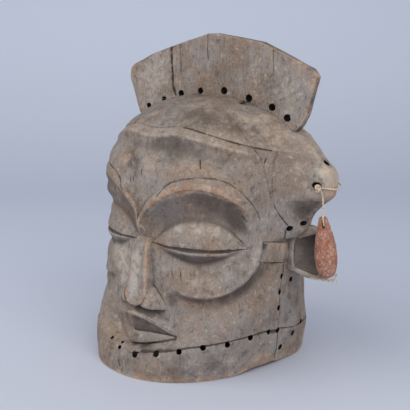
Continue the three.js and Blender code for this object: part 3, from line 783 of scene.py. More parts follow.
def add_pin(bm, centre, way, radius, length, wide, seed):
    """A pin for drilling, a little out of round as hand-made holes are."""
    wobble = [1 + 0.16 * noise.noise(Vector((seed * 3.7, k * 2.1, 0))) for k in range(2)]
    turned = Vector(way).normalized().to_track_quat("Z", "Y").to_matrix().to_4x4()
    shape = Matrix.Diagonal((radius * wide * wobble[0] * MM, radius * wobble[1] * MM, length * MM, 1))
    bmesh.ops.create_cone(bm, cap_ends=True, segments=14, radius1=1, radius2=1, depth=1,
                          matrix=Matrix.Translation(Vector(centre) * MM) @ turned @ shape)


def pin_list():
    """Centre, direction, radius, length and widening of every drilled hole."""
    pins = []
    for turn, z, radius in COLLAR_HOLES + SIDE_HOLES + [(-turn, z, radius) for turn, z, radius in SIDE_HOLES]:
        angle = math.radians(turn)
        aim = mix(angle, DRILLED_FROM, 0.65 if angle < 0.45 else 0.25) if -0.3 < angle < 0.9 else angle
        way = np.array([math.sin(aim), -math.cos(aim), COLLAR_RISE if z < 50 else 0])
        length, inward = BLIND_PIN if -0.25 < angle < 0.4 and z < 34 else THROUGH_PIN
        pins.append((around(angle, float(outer_radius(angle, z)), z) - inward * way, way, radius, length, 1))
    back = np.array((0, 1, 0))
    pins += [(np.array((x, CREST_BACK, z)), back, radius, 40, wide) for x, z, radius, wide in CREST_HOLES]
    for side in (-1, 1):
        mirror = np.array((side, 1, 1))
        pins += [(mirror * centre, mirror * way, radius, length, 1)
                 for centre, way, radius, length in HORN_HOLES]
    return pins


def beside_pins(points):
    """For every drilled hole: distance of the points along and from its axis, its way, radius and length."""
    for centre, way, radius, length, _ in pin_list():
        way = way / np.linalg.norm(way)
        offset = points / MM - centre
        run = offset @ way
        yield run, np.linalg.norm(offset - run[:, None] * way, axis=1), way, radius, length


def hole_pins():
    """The pins of all drilled holes, as one tool."""
    bm = bmesh.new()
    for seed, pin in enumerate(pin_list()):
        add_pin(bm, *pin, seed)
    return link("pins", bm)


def make_mask():
    """The whole carving in one piece, hollowed and drilled."""
    mask = make_head()
    combine(mask, make_nose(), "UNION")
    combine(mask, make_crest(), "UNION")
    for side in (1, -1):
        combine(mask, make_strap(side), "UNION")
        combine(mask, make_ear(side), "UNION")
        combine(mask, make_scoop(side), "DIFFERENCE")
    combine(mask, make_hollow(), "DIFFERENCE")
    combine(mask, hole_pins(), "DIFFERENCE")
    mask.name = "kete_mask_wood"
    return mask


# Surface: cut lines, cracks, tool marks and wear, and the attributes that the wood's colours follow

# Cut lines and cracks on the head: width, depth and points by angle and height
LINES = [
    (0.6, 0.6, [(66, 293.5), (68.3, 286.8), (69.6, 277.6), (71.3, 268.2), (74, 259.1), (77, 248.6),
                (78.3, 238.8), (78.8, 228.8), (80.2, 215), (82, 204)]),
    (1.5, 0.3, [(85.8, 252.8), (84.1, 244.8), (82.2, 231.7), (81.8, 218.2), (82.8, 205.8), (84, 197)]),
    (0.8, 0.7, [(84, 197), (84.6, 193.2), (88.4, 182.4), (92.8, 171)]),
    (0.8, 0.7, [(92.2, 165), (93, 153.8), (96.8, 130.2), (98.2, 114.5), (97.9, 111)]),
    (0.7, 0.7, [(78.3, 155.2), (79.5, 132.5)]), (0.6, 0.5, [(80.3, 154.5), (81.5, 132)]),
    (0.7, 0.7, [(79.5, 131.6), (99.5, 124.4)]), (0.6, 0.6, [(78.3, 155.8), (98, 148.8)]),
    (0.8, 0.7, [(97.9, 111), (94.6, 95), (95.5, 71.8), (96.7, 44.3), (98.6, 17.7), (98.6, 4)]),
    (0.7, 1.4, [(44, 245.5), (44.3, 238)]), (0.7, 1.0, [(-7, 239.4), (-4.5, 233.5)]),
    (0.7, 0.9, [(-11.5, 216.1), (-7, 219.5)]), (0.7, 0.4, [(-7, 219.5), (-2, 225.5)]),
    (0.7, 0.8, [(-2, 225.5), (1.7, 228.8)]), (0.7, 1.0, [(80, 247), (79, 242)]),
    (0.7, 0.8, [(32.4, 121.8), (33, 113)]), (0.7, 0.8, [(26.3, 119.8), (27.4, 115)]),
    (0.7, 1.0, [(-1.5, 14), (0.5, 8)]), (0.7, 0.7, [(66, 186), (69, 180)]),
    (0.6, 0.6, [(64.5, 158), (67.5, 151.5)]), (0.6, 0.5, [(66, 212), (71.5, 198), (75, 186)])]
# Lines of the lips on the wearer's left, which are cut deeper than on the right
LINES += [
    (0.7, 0.45, [(9, 64), (16, 60.4), (24, 56), (31, 51)]),
    (0.8, 0.9, [(-1, 45.4), (10, 47.2), (20, 48.6), (31, 50.4)]),
    (0.9, 0.9, [(-1, 30.2), (10, 33.6), (20, 39.6), (31, 49)]),
]
# Lines that both sides of the face have
PAIRED_LINES = [
    (0.8, 0.55, [(16.9, 204), (21.4, 215.1), (26.8, 221.2), (34.9, 225.8), (43.9, 228.4), (52, 228),
                 (58.2, 224.3), (64.1, 215), (68.8, 203.8), (74.1, 190.2), (76.2, 181.1)]),
    (0.8, 0.8, [(7.5, 148.6), (12, 148.2)]), (1.1, 1.6, [(12, 148.2), (20, 148), (30, 148)]),
    (1.4, 2.0, [(30, 148), (40, 148.2), (50, 148.4), (60, 149.2)]), (0.9, 1.0, [(60, 149.2), (69, 150)]),
    (0.8, 0.7, [(9.8, 94), (9.5, 88), (8.2, 82), (6, 77.5), (3.4, 75.6)]),
    (1.2, 0.3, [(14.2, 94), (16, 91), (18.5, 85), (20.6, 79)])]
COLLAR_LINE = [
    (9, 27), (11.5, 28), (20.8, 32.5), (31.5, 38), (39, 41.6), (50.8, 44.2), (65, 46.8), (82.7, 48),
    (95.5, 44.5)]
# Cracks in the crest, by distance across and height
CREST_CRACKS = [
    (1.2, 3.2, [(-74, 366), (-73, 350), (-71.5, 330), (-70, 316), (-65, 306)]),
    (0.6, 0.9, [(-8, 380), (-8.5, 362), (-7, 350)]), (0.6, 0.7, [(-58, 369), (-56, 350), (-55, 332)]),
    (0.5, 0.6, [(96, 362), (97, 335)])]


def dense(line, spacing=0.6):
    """Points close together along a line."""
    line = np.asarray(line, dtype=float)
    run = np.linalg.norm((line[1:] - line[:-1]) * (1.9, 1), axis=1).sum()
    return along(line, np.linspace(0, 1, max(3, int(run / spacing))))


def line_points():
    """Points along all cut lines, unrolled, with the width and depth of each."""
    hair = [(turn, float(hairline_height(abs(turn))) + 0.6) for turn in range(-85, 86, 3)]
    edge = [(turn, float(collar_edge(math.radians(turn))) + 1.5) for turn in range(96, 321, 4)]
    edge = [(turn - 360 if turn > 180 else turn, z) for turn, z in edge]
    mirrored = [(width, depth, [(-turn, z) for turn, z in line]) for width, depth, line in PAIRED_LINES]
    lines = LINES + PAIRED_LINES + mirrored
    lines += [(0.9, 0.22, hair[:40]), (0.9, 0.6, hair[39:]), (1.0, 0.9, COLLAR_LINE)]
    lines += [(0.9, 0.7, [point for point in edge if point[0] * side > 0]) for side in (1, -1)]
    rows = [(math.radians(turn) * ARC, z, width, depth)
            for width, depth, line in lines for turn, z in dense(line)]
    rows += [(x + CREST_SHIFT, z, width, depth)
             for width, depth, line in CREST_CRACKS for x, z in dense(line)]
    return np.array(rows)


# The crest's lines are kept apart from the head's by this shift in the unrolled plan.
CREST_SHIFT = 2000


def unrolled(points):
    """Plan of the outer skin: distance round the head and height, and far aside for the crest's front."""
    angle, radius, x, y, z = where_on(points)
    on_crest = (np.abs(y - CREST_BACK + crest_half(x, z)) < 1.2) & (radius > outer_radius(angle, z) + 1)
    plan = np.stack([np.where(on_crest, x + CREST_SHIFT, angle * ARC), z], axis=-1)
    outside = on_crest | (radius > outer_radius(angle, z) - 4)
    return plan, outside


def line_distance(points, rows, tree):
    """Distance to the nearest cut line, with that line's width and depth."""
    plan, outside = unrolled(points)
    found = np.full((len(points), 3), 99.0)
    found[:, 1:] = (1, 0)
    for i in np.flatnonzero(outside):
        _, nearest, distance = tree.find((plan[i, 0], plan[i, 1], 0))
        found[i] = (distance, rows[nearest, 2], rows[nearest, 3])
    return found


def refine(made, rows, tree):
    """Smaller faces along the cut lines."""
    for reach, longest in ((2.6, 0.9), (1.6, 1.0)):
        near = line_distance(points_of(made.data), rows, tree)[:, 0] < reach
        bm = bmesh.new()
        bm.from_mesh(made.data)
        edges = [e for e in bm.edges
                 if all(near[v.index] for v in e.verts) and e.calc_length() > longest * MM]
        bmesh.ops.subdivide_edges(bm, edges=edges, cuts=1, use_grid_fill=True)
        bm.to_mesh(made.data)
        bm.free()


def edge_ends(mesh):
    """The two points of every edge."""
    flat = np.empty(len(mesh.edges) * 2, dtype=int)
    mesh.edges.foreach_get("vertices", flat)
    return flat.reshape(-1, 2).T


def spread(values, ends, rounds):
    """Averages of each point with its neighbours, taken again and again."""
    a, b = ends
    count = np.bincount(a, minlength=len(values)) + np.bincount(b, minlength=len(values))
    values = values.astype(float)
    for _ in range(rounds):
        total = np.bincount(a, values[b], len(values)) + np.bincount(b, values[a], len(values))
        values = 0.4 * values + 0.6 * total / np.maximum(count, 1)
    return values


def bend(points, normals, ends):
    """How sharply the skin bends at each point, in turns per metre: positive on ridges."""
    a, b = ends
    step = points[b] - points[a]
    length = np.einsum("ij,ij->i", step, step)
    value = np.einsum("ij,ij->i", normals[b] - normals[a], step) / np.maximum(length, 1e-9)
    weight = np.sqrt(length)
    count = len(points)
    total = np.bincount(a, value * weight, count) + np.bincount(b, value * weight, count)
    return total / np.maximum(np.bincount(a, weight, count) + np.bincount(b, weight, count), 1e-9)


def broad_hollow(points, normals, ends, rounds):
    """How far each point lies below the average of the skin around it, in metres."""
    around_it = np.stack([spread(points[:, k], ends, rounds) for k in range(3)], axis=-1)
    return np.einsum("ij,ij->i", around_it - points, normals)


def speckle(points, size, seed, stretch=(1, 1, 1)):
    """Smooth noise between -1 and 1 at each point, with bumps of about the given size in millimetres."""
    scaled = points / MM / size * np.array(stretch) + seed * 17.3
    return np.array([noise.noise(p) for p in scaled])


# Worn and stained places on the head by angle and height, and on the crest by distance across and height,
# with the size and the strength of each; a stain below 0 is pale, and the head's list of stains also holds
# painted shade and painted light
HEAD_WEAR = [
    (9.7, 193.4, 6, 0.5), (15, 200, 6, 0.6), (20.7, 204.8, 6, 0.8), (25, 208, 6, 0.9),
    (29.3, 210.6, 6, 1.0), (34, 213, 6, 1.0), (38.8, 214.9, 6, 1.0), (45.6, 216.8, 6, 0.9),
    (50, 215.5, 6, 0.8), (54.8, 213.2, 6, 0.7), (60.8, 204.8, 6, 0.6), (66, 192, 6, 0.5),
    (69.8, 178.9, 6, 0.45), (72.7, 164.5, 6, 0.4), (-12, 199, 6, 0.6), (-16, 175, 6, 0.4),
    (-20, 215, 7, 0.4), (-5, 186, 6, 0.5), (0, 176, 7, 0.4), (-21.6, 237.8, 7, 0.7), (-17, 240.4, 6, 0.6),
    (-11.8, 248, 6, 0.4), (32, 236, 12, 0.45), (40, 239, 9, 0.4), (48, 236, 8, 0.3), (22, 232, 9, 0.25),
    (34.5, 88.2, 6, 0.45), (40, 86.5, 6, 0.5), (46, 87, 6, 0.5), (52.2, 90.8, 6, 0.45),
    (60.7, 99.1, 6, 0.4), (66, 108, 6, 0.3), (28.8, 99, 8, 0.25), (33, 120, 5, 0.3), (76, 12, 6, 0.6),
    (80.6, 15, 7, 0.8), (86, 14, 7, 0.9), (91, 12.6, 7, 0.8), (100, 8, 7, 0.5), (107, 5.8, 6, 0.5),
    (-30, 2, 7, 0.3), (-15, 2, 7, 0.35), (0, 2, 7, 0.4), (12, 2.5, 7, 0.45), (20, 3, 7, 0.5),
    (28, 3, 7, 0.55), (36, 3, 7, 0.55), (44, 3, 7, 0.6), (52, 3, 7, 0.6), (61, 4, 7, 0.6), (69, 5, 7, 0.6),
    (100, 207, 7, 0.7), (102, 212, 6, 0.8), (103, 222, 7, 0.3), (10, 80, 6, 0.3), (-4, 58, 7, 0.25),
    (107, 70, 6, 0.5), (99, 30, 6, 0.3), (40, 62, 16, 0.35), (58, 66, 16, 0.35), (50, 50, 14, 0.25),
    (72, 70, 14, 0.2)]
CREST_WEAR = [
    (154, 333, 7, 1.0), (150, 322, 6, 0.7), (145, 300, 6, 0.6), (140, 288, 6, 0.5), (139, 345, 6, 0.5),
    (128, 350, 7, 0.6), (112, 355, 6, 0.6), (95, 362, 6, 0.6), (78, 368, 5, 0.5), (60, 371, 5, 0.4),
    (136, 338, 8, 0.5), (122, 344, 7, 0.4), (-156, 332, 7, 0.8), (-150, 341, 6, 0.6), (-136, 346, 5, 0.5),
    (-115, 353, 5, 0.4), (-95, 359, 5, 0.3), (-60, 366, 5, 0.3), (-58, 345, 5, 0.35), (-56, 330, 6, 0.3),
    (-54, 316, 5, 0.25), (-152, 312, 6, 0.3), (0, 379, 6, 0.3), (48, 330, 8, 0.2), (112, 318, 9, 0.25),
    (-110, 330, 8, 0.2)]
# Beside dirt, this list holds painted shade in the forehead's hollow, under the horns, under the lower lip
# and below the cheek's mound, and, below 0, painted light on lit faces: the lids, the cheek's mound, the roll
# by the temple and the wearer's right cheek.
HEAD_STAIN_AND_LIGHT = [
    (-12, 262, 8, 0.5), (4, 262, 9, 0.6), (13.9, 261, 11, 0.7), (23.9, 260, 12, 0.7), (33, 258, 13, 0.6),
    (39, 255, 12, 0.45), (46, 251, 13, 0.5), (56, 248, 12, 0.45), (61, 244, 9, 0.4), (22, 248, 9, 0.4),
    (60, 232, 9, 0.3), (43, 284, 11, 0.35), (57, 280, 12, 0.5), (68.7, 274, 10, 0.6), (77, 269, 8, 0.5),
    (28, 261, 9, 0.3), (66, 177, 8, 0.6), (70, 168, 7, 0.4), (36, 292, 12, 0.3), (50, 289, 11, 0.4),
    (65, 282, 10, 0.3), (77, 277, 9, 0.5), (82, 268, 9, 0.6), (-14, 240, 12, 0.3), (-4, 228, 11, 0.3),
    (4, 244, 10, 0.3), (106, 74, 8, 0.6), (114, 70, 10, 0.7), (109, 34, 9, 0.6), (103, 55, 8, 0.6),
    (120, 45, 12, 0.5), (104, 95, 8, 0.6), (69, 143, 5, 0.6), (12, 120, 5, 0.3), (12, 108, 5, 0.3),
    (11, 134, 5, 0.3), (27, 37, 6, 0.5), (18, 33, 6, 0.4), (8, 30, 6, 0.4), (30, 44, 5, 0.4),
    (-8, 60, 6, 0.5), (88, 205, 7, 0.3), (97, 186, 9, 0.7), (100, 176, 8, 0.5), (60, 112, 8, 0.2),
    (50, 20, 9, 0.4), (70, 28, 9, 0.4), (34, 28, 8, 0.3), (10, 16, 8, 0.3), (-10, 20, 8, 0.4),
    (85, 30, 8, 0.3), (30, 14, 8, 0.3), (60, 34, 7, 0.3), (68, 232, 9, 0.3), (28, 242, 8, 0.4),
    (46, 233, 8, 0.2), (76, 222, 7, 0.3), (84, 170, 7, 0.3), (36, 80, 7, 0.3), (26, 88, 7, 0.5),
    (30, 78, 7, 0.4), (44, 80, 7, 0.2), (88, 120, 7, 0.25), (90, 60, 8, 0.3), (80, 100, 8, 0.2),
    (30, 170, 8, -0.6), (42, 172, 9, -0.7), (52, 168, 8, -0.5), (24, 160, 7, -0.4), (60, 160, 7, -0.3),
    (3, 138, 7, -0.3), (98, 232, 10, -0.8), (103, 222, 9, -0.8), (98, 216, 8, -0.5), (92, 236, 9, -0.4),
    (86, 222, 8, -0.3), (40, 112, 10, -0.5), (50, 114, 9, -0.4), (58, 122, 8, -0.4), (66, 130, 7, -0.4),
    (72, 140, 7, -0.5), (30, 128, 6, -0.4), (20, 124, 7, -0.3), (45, 66, 10, -0.2), (64, 68, 10, -0.2),
    (26, 148, 5, -0.3), (40, 146, 5, -0.3), (55, 146, 5, -0.2), (88, 145, 8, -0.5), (95, 140, 7, -0.5),
    (22, 46, 5, -0.5), (14, 42, 5, -0.5), (28, 46, 4, -0.4), (22, 88, 5, -0.5), (-20, 150, 12, -0.4),
    (-30, 190, 12, -0.3), (74, 118, 9, -0.2), (66, 103.5, 7, 0.5), (57.6, 95.9, 7, 0.5),
    (72.6, 110.4, 6, 0.5), (47, 90, 6, 0.4), (81, 119, 7, 0.4), (77.8, 154.9, 4.5, -0.7),
    (74.9, 145.7, 4.5, -0.8), (73.7, 134.7, 4.5, -0.8), (70.8, 124.1, 5, -0.7), (66.7, 116.2, 5, -0.5),
    (-15, 249, 9, 0.5), (-10, 241, 9, 0.4), (-13, 233, 9, 0.5), (-3, 235, 8, 0.3), (-22, 246, 9, 0.4),
    (-4, 229, 8, 0.4), (5, 12, 14, 0.45), (20, 14, 14, 0.45), (35, 18, 14, 0.45), (50, 22, 14, 0.45),
    (-12, 16, 14, 0.35), (-28, 22, 13, 0.35), (10, 37, 7, 0.5), (0, 38, 7, 0.4), (-14, 35, 5, 0.5),
    (-9, 32, 5, 0.6), (-4, 30, 5, 0.6), (1, 29, 5, 0.7), (7, 29, 5, 0.7), (13, 31, 5, 0.6),
    (20, 42, 6, 0.4), (-24, 120, 16, -0.9), (-20, 98, 12, -0.8), (-34, 138, 14, -0.8), (101, 194, 9, 0.6),
    (96, 190, 8, 0.4), (106, 199, 8, 0.8), (110, 203, 7, 0.8), (108, 194, 9, 0.8), (114, 206, 7, 0.7),
    (66, 184, 5, 0.8), (64.5, 192, 5, 0.8), (61, 200, 5, 0.7), (22, 96, 6, 0.4), (27, 86, 5, 0.4)]
CREST_STAIN = [
    (0, 308, 9, 0.3), (60, 303, 8, 0.6), (76, 305, 7, 0.4), (-20, 309, 8, 0.3), (110, 290, 7, 0.3),
    (20, 345, 22, 0.3), (60, 350, 20, 0.25), (-30, 350, 16, 0.25), (0, 325, 14, 0.2),
    (-108, 325, 36, -0.65), (112, 318, 24, -0.25), (-130, 320, 14, -0.2), (-90, 345, 14, -0.15),
    (118, 325, 16, -0.3), (90, 320, 12, -0.2), (-112, 300, 10, -0.2)]


# The same at points in space: on the nose, in the hollow of an ear and on its rim
POINT_WEAR = [
    (24, -98, 86, 5, 0.6), (118, 32, 113, 5, 0.5), (132, 32, 110, 5, 0.6), (146, 42, 107.5, 6, 0.7),
    (158, 52, 108, 7, 0.7), (124, 31, 150, 5, 0.4), (140, 36, 165, 6, 0.4), (170, 40, 205, 6, 0.5),
    (172, 38, 218, 6, 0.4)]
# Dark places here are painted shade deep in the ear's hollow, on the nose's shaded side and under the nose;
# those below 0 are painted light on the ear's lit lower part and on the nose's lit front, and pale wear along
# the nose's edge.
POINT_STAIN_AND_LIGHT = [
    (130, 38, 117, 7, -0.9), (127, 36, 126, 6, -0.4), (154, 54, 144, 12, 2.2), (156, 52, 125, 10, 1.2),
    (143, 48, 154, 9, 1.4), (126, 36, 137, 8, -1.3), (133, 42, 122, 9, -1.6), (140, 46, 113, 8, -1.0),
    (16, -86, 140, 4, 0.7), (16.5, -87, 128, 4, 0.6), (17, -88, 116, 4, 0.6), (17.5, -89, 104, 4, 0.7),
    (28, -84, 100, 6, 0.5), (-3, -92, 132, 9, -0.8), (-3, -95, 118, 9, -0.9), (-4, -98, 104, 9, -0.9),
    (-4, -102, 90, 9, -0.9), (22, -98, 86, 5, -0.3), (16, -97, 96, 3, -0.6), (14.5, -95, 114, 3, -0.6),
    (13.5, -93.5, 128, 3, -0.6), (12, -92, 142, 3, -0.6), (14, -92, 72, 6, 1.0), (26, -90, 72, 6, 0.9),
    (4, -96, 70, 6, 0.9)]


def places(points, on_head, on_crest, in_space):
    """Strength at each point of a list of places: worn spots, stains, painted shade and painted light."""
    x, y, z = points.T / MM
    total = np.zeros(len(points))
    for turn, height, size, strength in on_head:
        angle = math.radians(turn)
        centre = around(angle, float(outer_radius(angle, height)), height)
        gap = (x - centre[0]) ** 2 + (y - centre[1]) ** 2 + (z - centre[2]) ** 2
        total += strength * np.exp(-gap / size ** 2)
    for across, height, size, strength in on_crest:
        gap = (x - across) ** 2 + (z - height) ** 2 + (y - CREST_BACK) ** 2 * 0.3
        total += strength * np.exp(-gap / size ** 2)
    for a, b, c, size, strength in in_space:
        total += strength * np.exp(-((x - a) ** 2 + (y - b) ** 2 + (z - c) ** 2) / size ** 2)
    return total


def nose_wear():
    """Worn spots all along both edges of the nose's front plane."""
    spots = along(NOSE_EDGE, np.linspace(0, 1, 30))
    return [(side * a, b, c, 3.4, strength * (0.7 + 1.1 * noise.noise(Vector((a, side, c * 0.3)))))
            for a, b, c in spots for side, strength in ((1, 0.6), (-1, 0.6))]


def eye_shade_and_dirt(angle, z):
    """Painted shade, with some dirt, in the cove under the brow and under the lower lid."""
    u = np.abs(angle) * ARC
    brow, lid, slit, lower = brow_edge(u), lid_top(u), eye_slit(u), lid_foot(u)
    ends = smooth(u, 3, 12) * (1 - smooth(u, 124, 138))
    cove = (0.45 + 0.5 * smooth(u, 60, 110)) * smooth(z - lid, 1, 14) * (1 - smooth(z - brow, -5, -1.2))
    below = 1.1 * smooth(slit - z, 3.5, 6.5) * (1 - smooth(lower - z, -2.5, 2.5))
    return ends * cove + below * smooth(u, 24, 60) * (1 - smooth(u, 100, 128))


def lip_painted_shade_and_light(angle, z):
    """Painted shade on the upper lip's facet with a painted highlight along its upper border, and painted
    shadow between it and the nose; weaker on the wearer's right.
    """
    u = np.abs(angle) * ARC
    top, part, _ = lip_lines(u)
    side = np.where(angle > -0.02, 1, 0.3) * (1 - smooth(u, 48, 62))
    facet = 1.1 * smooth(z - part, 0.3, 2.5) * (1 - smooth(z - top, -3, -1))
    border = -0.35 * np.exp(-((z - top) / 1.3) ** 2)
    above = 0.55 * smooth(z - top, 1, 3) * (1 - smooth(z - top, 5, 12)) * (1 - smooth(u, 20, 42))
    return side * (facet + border + above)


def cheek_shade_and_dirt(angle, z):
    """Painted shade, with brown dirt, along the foot of the cheek's mound."""
    u = np.abs(angle) * ARC
    out = (cheek_share(u, z) - 1) * CHEEK_SPREAD
    return (0.55 * smooth(out, -2, 3) * (1 - smooth(out, 6, 22))
            * smooth(u, 36, 62) * (1 - smooth(z, 112, 140)))


def away_from_pins(points):
    """0 beside a drilled hole and 1 away from it."""
    clear = np.ones(len(points))
    for run, gap, _, radius, length in beside_pins(points):
        clear = np.where(np.abs(run) < length / 2, np.minimum(clear, smooth(gap - radius, 1.2, 4.5)), clear)
    return clear


def bore_faces(mesh):
    """Which faces are the walls of drilled holes."""
    centres, normals = vectors(mesh.polygons, "center"), vectors(mesh.polygons, "normal")
    bore = np.zeros(len(centres))
    for run, gap, way, radius, length in beside_pins(centres):
        wall_or_end = (np.abs(normals @ way) < 0.3) | (run < 0.8 - length / 2)
        bore[(gap < radius * 1.3) & wall_or_end & (np.abs(run) < length / 2 + 0.5)] = 1
    return bore


def chip_rim(points):
    """The rim's edge, broken away under the ear and uneven all round."""
    angle, radius, _, _, z = where_on(points)
    turn = np.degrees(angle)
    chipped = 7.5 * smooth(turn, 60, 88) * (1 - smooth(turn, 93, 101))
    chipped = chipped + 2.5 * smooth(turn, 93, 99) * (1 - smooth(turn, 108, 118))
    uneven = 0.5 + 0.5 * speckle(turn[:, None] * (MM, 0, 0), 9, 3)
    edge = smooth(radius, 98, 108)
    points[:, 2] += np.maximum(0, 1 - z / 14) * edge * (chipped + uneven) * MM


def line_tree(rows):
    tree = kdtree.KDTree(len(rows))
    for i, row in enumerate(rows):
        tree.insert((row[0], row[1], 0), i)
    tree.balance()
    return tree


def hewn_skin(points, ridge, inside):
    """How far the skin stands out where the blade left it uneven, and in where its ridges are bruised."""
    hewn = 0.45 * speckle(points, 22, 1) + 0.22 * speckle(points, 8, 2, (1, 1, 0.5))
    hewn = hewn + 0.1 * speckle(points, 3, 3, (1, 1, 0.4))
    bruised = limit((ridge - 60) / 250) * (0.5 + 0.5 * speckle(points, 6, 4))
    return hewn * (1 - 0.6 * inside) - 0.8 * bruised


def drawn_wear(points, angle, z, under):
    """Wear along the rim and along the edge of the brow, beside the places of the lists."""
    u = np.abs(angle) * ARC
    rim = (0.75 * (1 - smooth(z, 2, 6.5))
           * smooth(speckle(points, 9, 6) + 0.6 * speckle(points, 3, 7), -0.25, 0.3))
    band = 0.5 * np.exp(-((z - brow_edge(u) - 2) / 3.5) ** 2) * smooth(u, 8, 22) * (1 - smooth(u, 118, 140))
    return places(points, HEAD_WEAR, CREST_WEAR, POINT_WEAR + nose_wear()) + rim + band * (under > -6)


def drawn_stain_and_painted_light(points, normals, angle, z, under, crest_edge):
    """Dirt round the crest's foot, painted shade under the horns and a darker edge on the crest, beside the
    stains, painted shade and painted light of the lists and of the eyes, lips and cheeks.
    """
    turn = np.degrees(np.abs(angle))
    crown = 0.5 * smooth(z, 272, 284) * (1 - smooth(z, 312, 320)) * (under > -4)
    face = (eye_shade_and_dirt(angle, z) + lip_painted_shade_and_light(angle, z) + cheek_shade_and_dirt(angle, z)) * (under > -6)
    # Painted shade on the faces that look down under the horns.
    horn_underside_shade = smooth(-normals[:, 2], 0.15, 0.6) * smooth(z, 172, 180) * smooth(turn, 84, 92)
    horn_underside_shade = 0.9 * horn_underside_shade * (1 - smooth(turn, 120, 130))
    return places(points, HEAD_STAIN_AND_LIGHT, CREST_STAIN, POINT_STAIN_AND_LIGHT) + crown + face + horn_underside_shade + 0.8 * crest_edge


def finish_surface(made):
    """Cuts the lines, hews the skin and chips the rim, and marks what the wood's colours follow."""
    rows = line_points()
    tree = line_tree(rows)
    refine(made, rows, tree)
    mesh = made.data
    points, normals, ends = points_of(mesh), normals_of(mesh), edge_ends(mesh)
    distance, width, depth = line_distance(points, rows, tree).T
    angle, radius, _, y, z = where_on(points)
    under = outer_radius(angle, z) - radius
    inside = smooth(under, 7, 9) * (y < 150)
    on_crest = (under < -1) & (np.abs(y - CREST_BACK) < 8) & (z > 268)
    ridge = spread(bend(points, normals, ends), ends, 2)
    cut = depth * np.exp(-(distance / width) ** 2)
    into = np.where(on_crest[:, None], (0, -1, 0), normals)
    push = hewn_skin(points, ridge, inside) * MM
    points = points + normals * push[:, None] - into * (cut * MM)[:, None]
    chip_rim(points)
    place(mesh, points)

    normals = normals_of(mesh)
    clear = away_from_pins(points) * smooth(np.abs(z - collar_edge(angle) + 1), 3, 9)
    hollow = broad_hollow(points, normals, ends, 60) / (3 * MM) * (1 - smooth(z, 292, 302))
    sideways = 1 - smooth(np.abs(normals[:, 1]), 0.3, 0.7)
    worn_edge = spread(bend(points, normals, ends), ends, 1) / 400 * clear * smooth(distance, 0.6, 3.2)
    worn_edge = worn_edge * (1 - 0.7 * on_crest * (1 - smooth(np.abs(normals[:, 1]), 0.2, 0.6)))
    # The stain mark also carries painted shade and painted light; the wood's material turns hollow, line and
    # bore into painted shade.
    marks = {
        "line": limit(cut * 1.1), "hollow": np.where(hollow < 0, hollow * clear, hollow), "ridge": worn_edge,
        "wear": drawn_wear(points, angle, z, under), "inside": inside,
        "stain": drawn_stain_and_painted_light(points, normals, angle, z, under, on_crest * sideways)}
    for name, values in marks.items():
        set_attribute(mesh, name, values)
    # The faces of the hole walls, which the wood paints near black as painted shade.
    set_attribute(mesh, "bore", bore_faces(mesh), "FACE")


# Materials

def tone(red, green, blue):
    """A colour given as the 0 to 255 numbers of a picture."""
    return tuple(((c / 255 + 0.055) / 1.055) ** 2.4 for c in (red, green, blue)) + (1,)


class Shading:
    """Short ways of laying the nodes of one material."""

    def __init__(self, name):
        self.material = bpy.data.materials.new(name)
        self.material.use_nodes = True
        self.tree = self.material.node_tree
        self.shader = self.tree.nodes["Principled BSDF"]
        self.where = self.tree.nodes.new("ShaderNodeTexCoord").outputs["Object"]

    def node(self, kind, inputs, **settings):
        made = self.tree.nodes.new(kind)
        for key, value in settings.items():
            setattr(made, key, value)
        for key, value in inputs.items():
            if isinstance(value, bpy.types.NodeSocket):
                self.tree.links.new(value, made.inputs[key])
            else:
                made.inputs[key].default_value = value
        return made

    def attribute(self, name):
        return self.node("ShaderNodeAttribute", {}, attribute_name=name).outputs["Fac"]

    def stretched(self, factors):
        return self.node("ShaderNodeVectorMath", {0: self.where, 1: factors}, operation="MULTIPLY").outputs[0]

    def noise(self, scale, detail=3.0, rough=0.55, vector=None, twist=0.0):
        inputs = {"Vector": vector or self.where, "Scale": scale, "Detail": detail, "Roughness": rough,
                  "Distortion": twist}
        return self.node("ShaderNodeTexNoise", inputs).outputs[0]

    def ramp(self, value, start, end, low=0.0, high=1.0):
        inputs = {"Value": value, "From Min": start, "From Max": end, "To Min": low, "To Max": high}
        return self.node("ShaderNodeMapRange", inputs, interpolation_type="SMOOTHSTEP").outputs[0]

    def maths(self, operation, a, b):
        return self.node("ShaderNodeMath", {0: a, 1: b}, operation=operation).outputs[0]

    def blend(self, share, a, b):
        inputs = {"Factor": share, "A": a, "B": b}
        made = self.tree.nodes.new("ShaderNodeMix")
        made.data_type = "RGBA"
        for socket in made.inputs:
            if socket.enabled and socket.name in inputs:
                value = inputs[socket.name]
                if isinstance(value, bpy.types.NodeSocket):
                    self.tree.links.new(value, socket)
                else:
                    socket.default_value = value
        return next(socket for socket in made.outputs if socket.enabled)

    def bump(self, height, distance, strength, before=None):
        inputs = {"Height": height, "Distance": distance, "Strength": strength}
        if before is not None:
            inputs["Normal"] = before
        return self.node("ShaderNodeBump", inputs).outputs[0]

    def finish(self, colour, rough, normal):
        for key, value in (("Base Color", colour), ("Roughness", rough), ("Normal", normal)):
            if isinstance(value, bpy.types.NodeSocket):
                self.tree.links.new(value, self.shader.inputs[key])
            else:
                self.shader.inputs[key].default_value = value
        return self.material


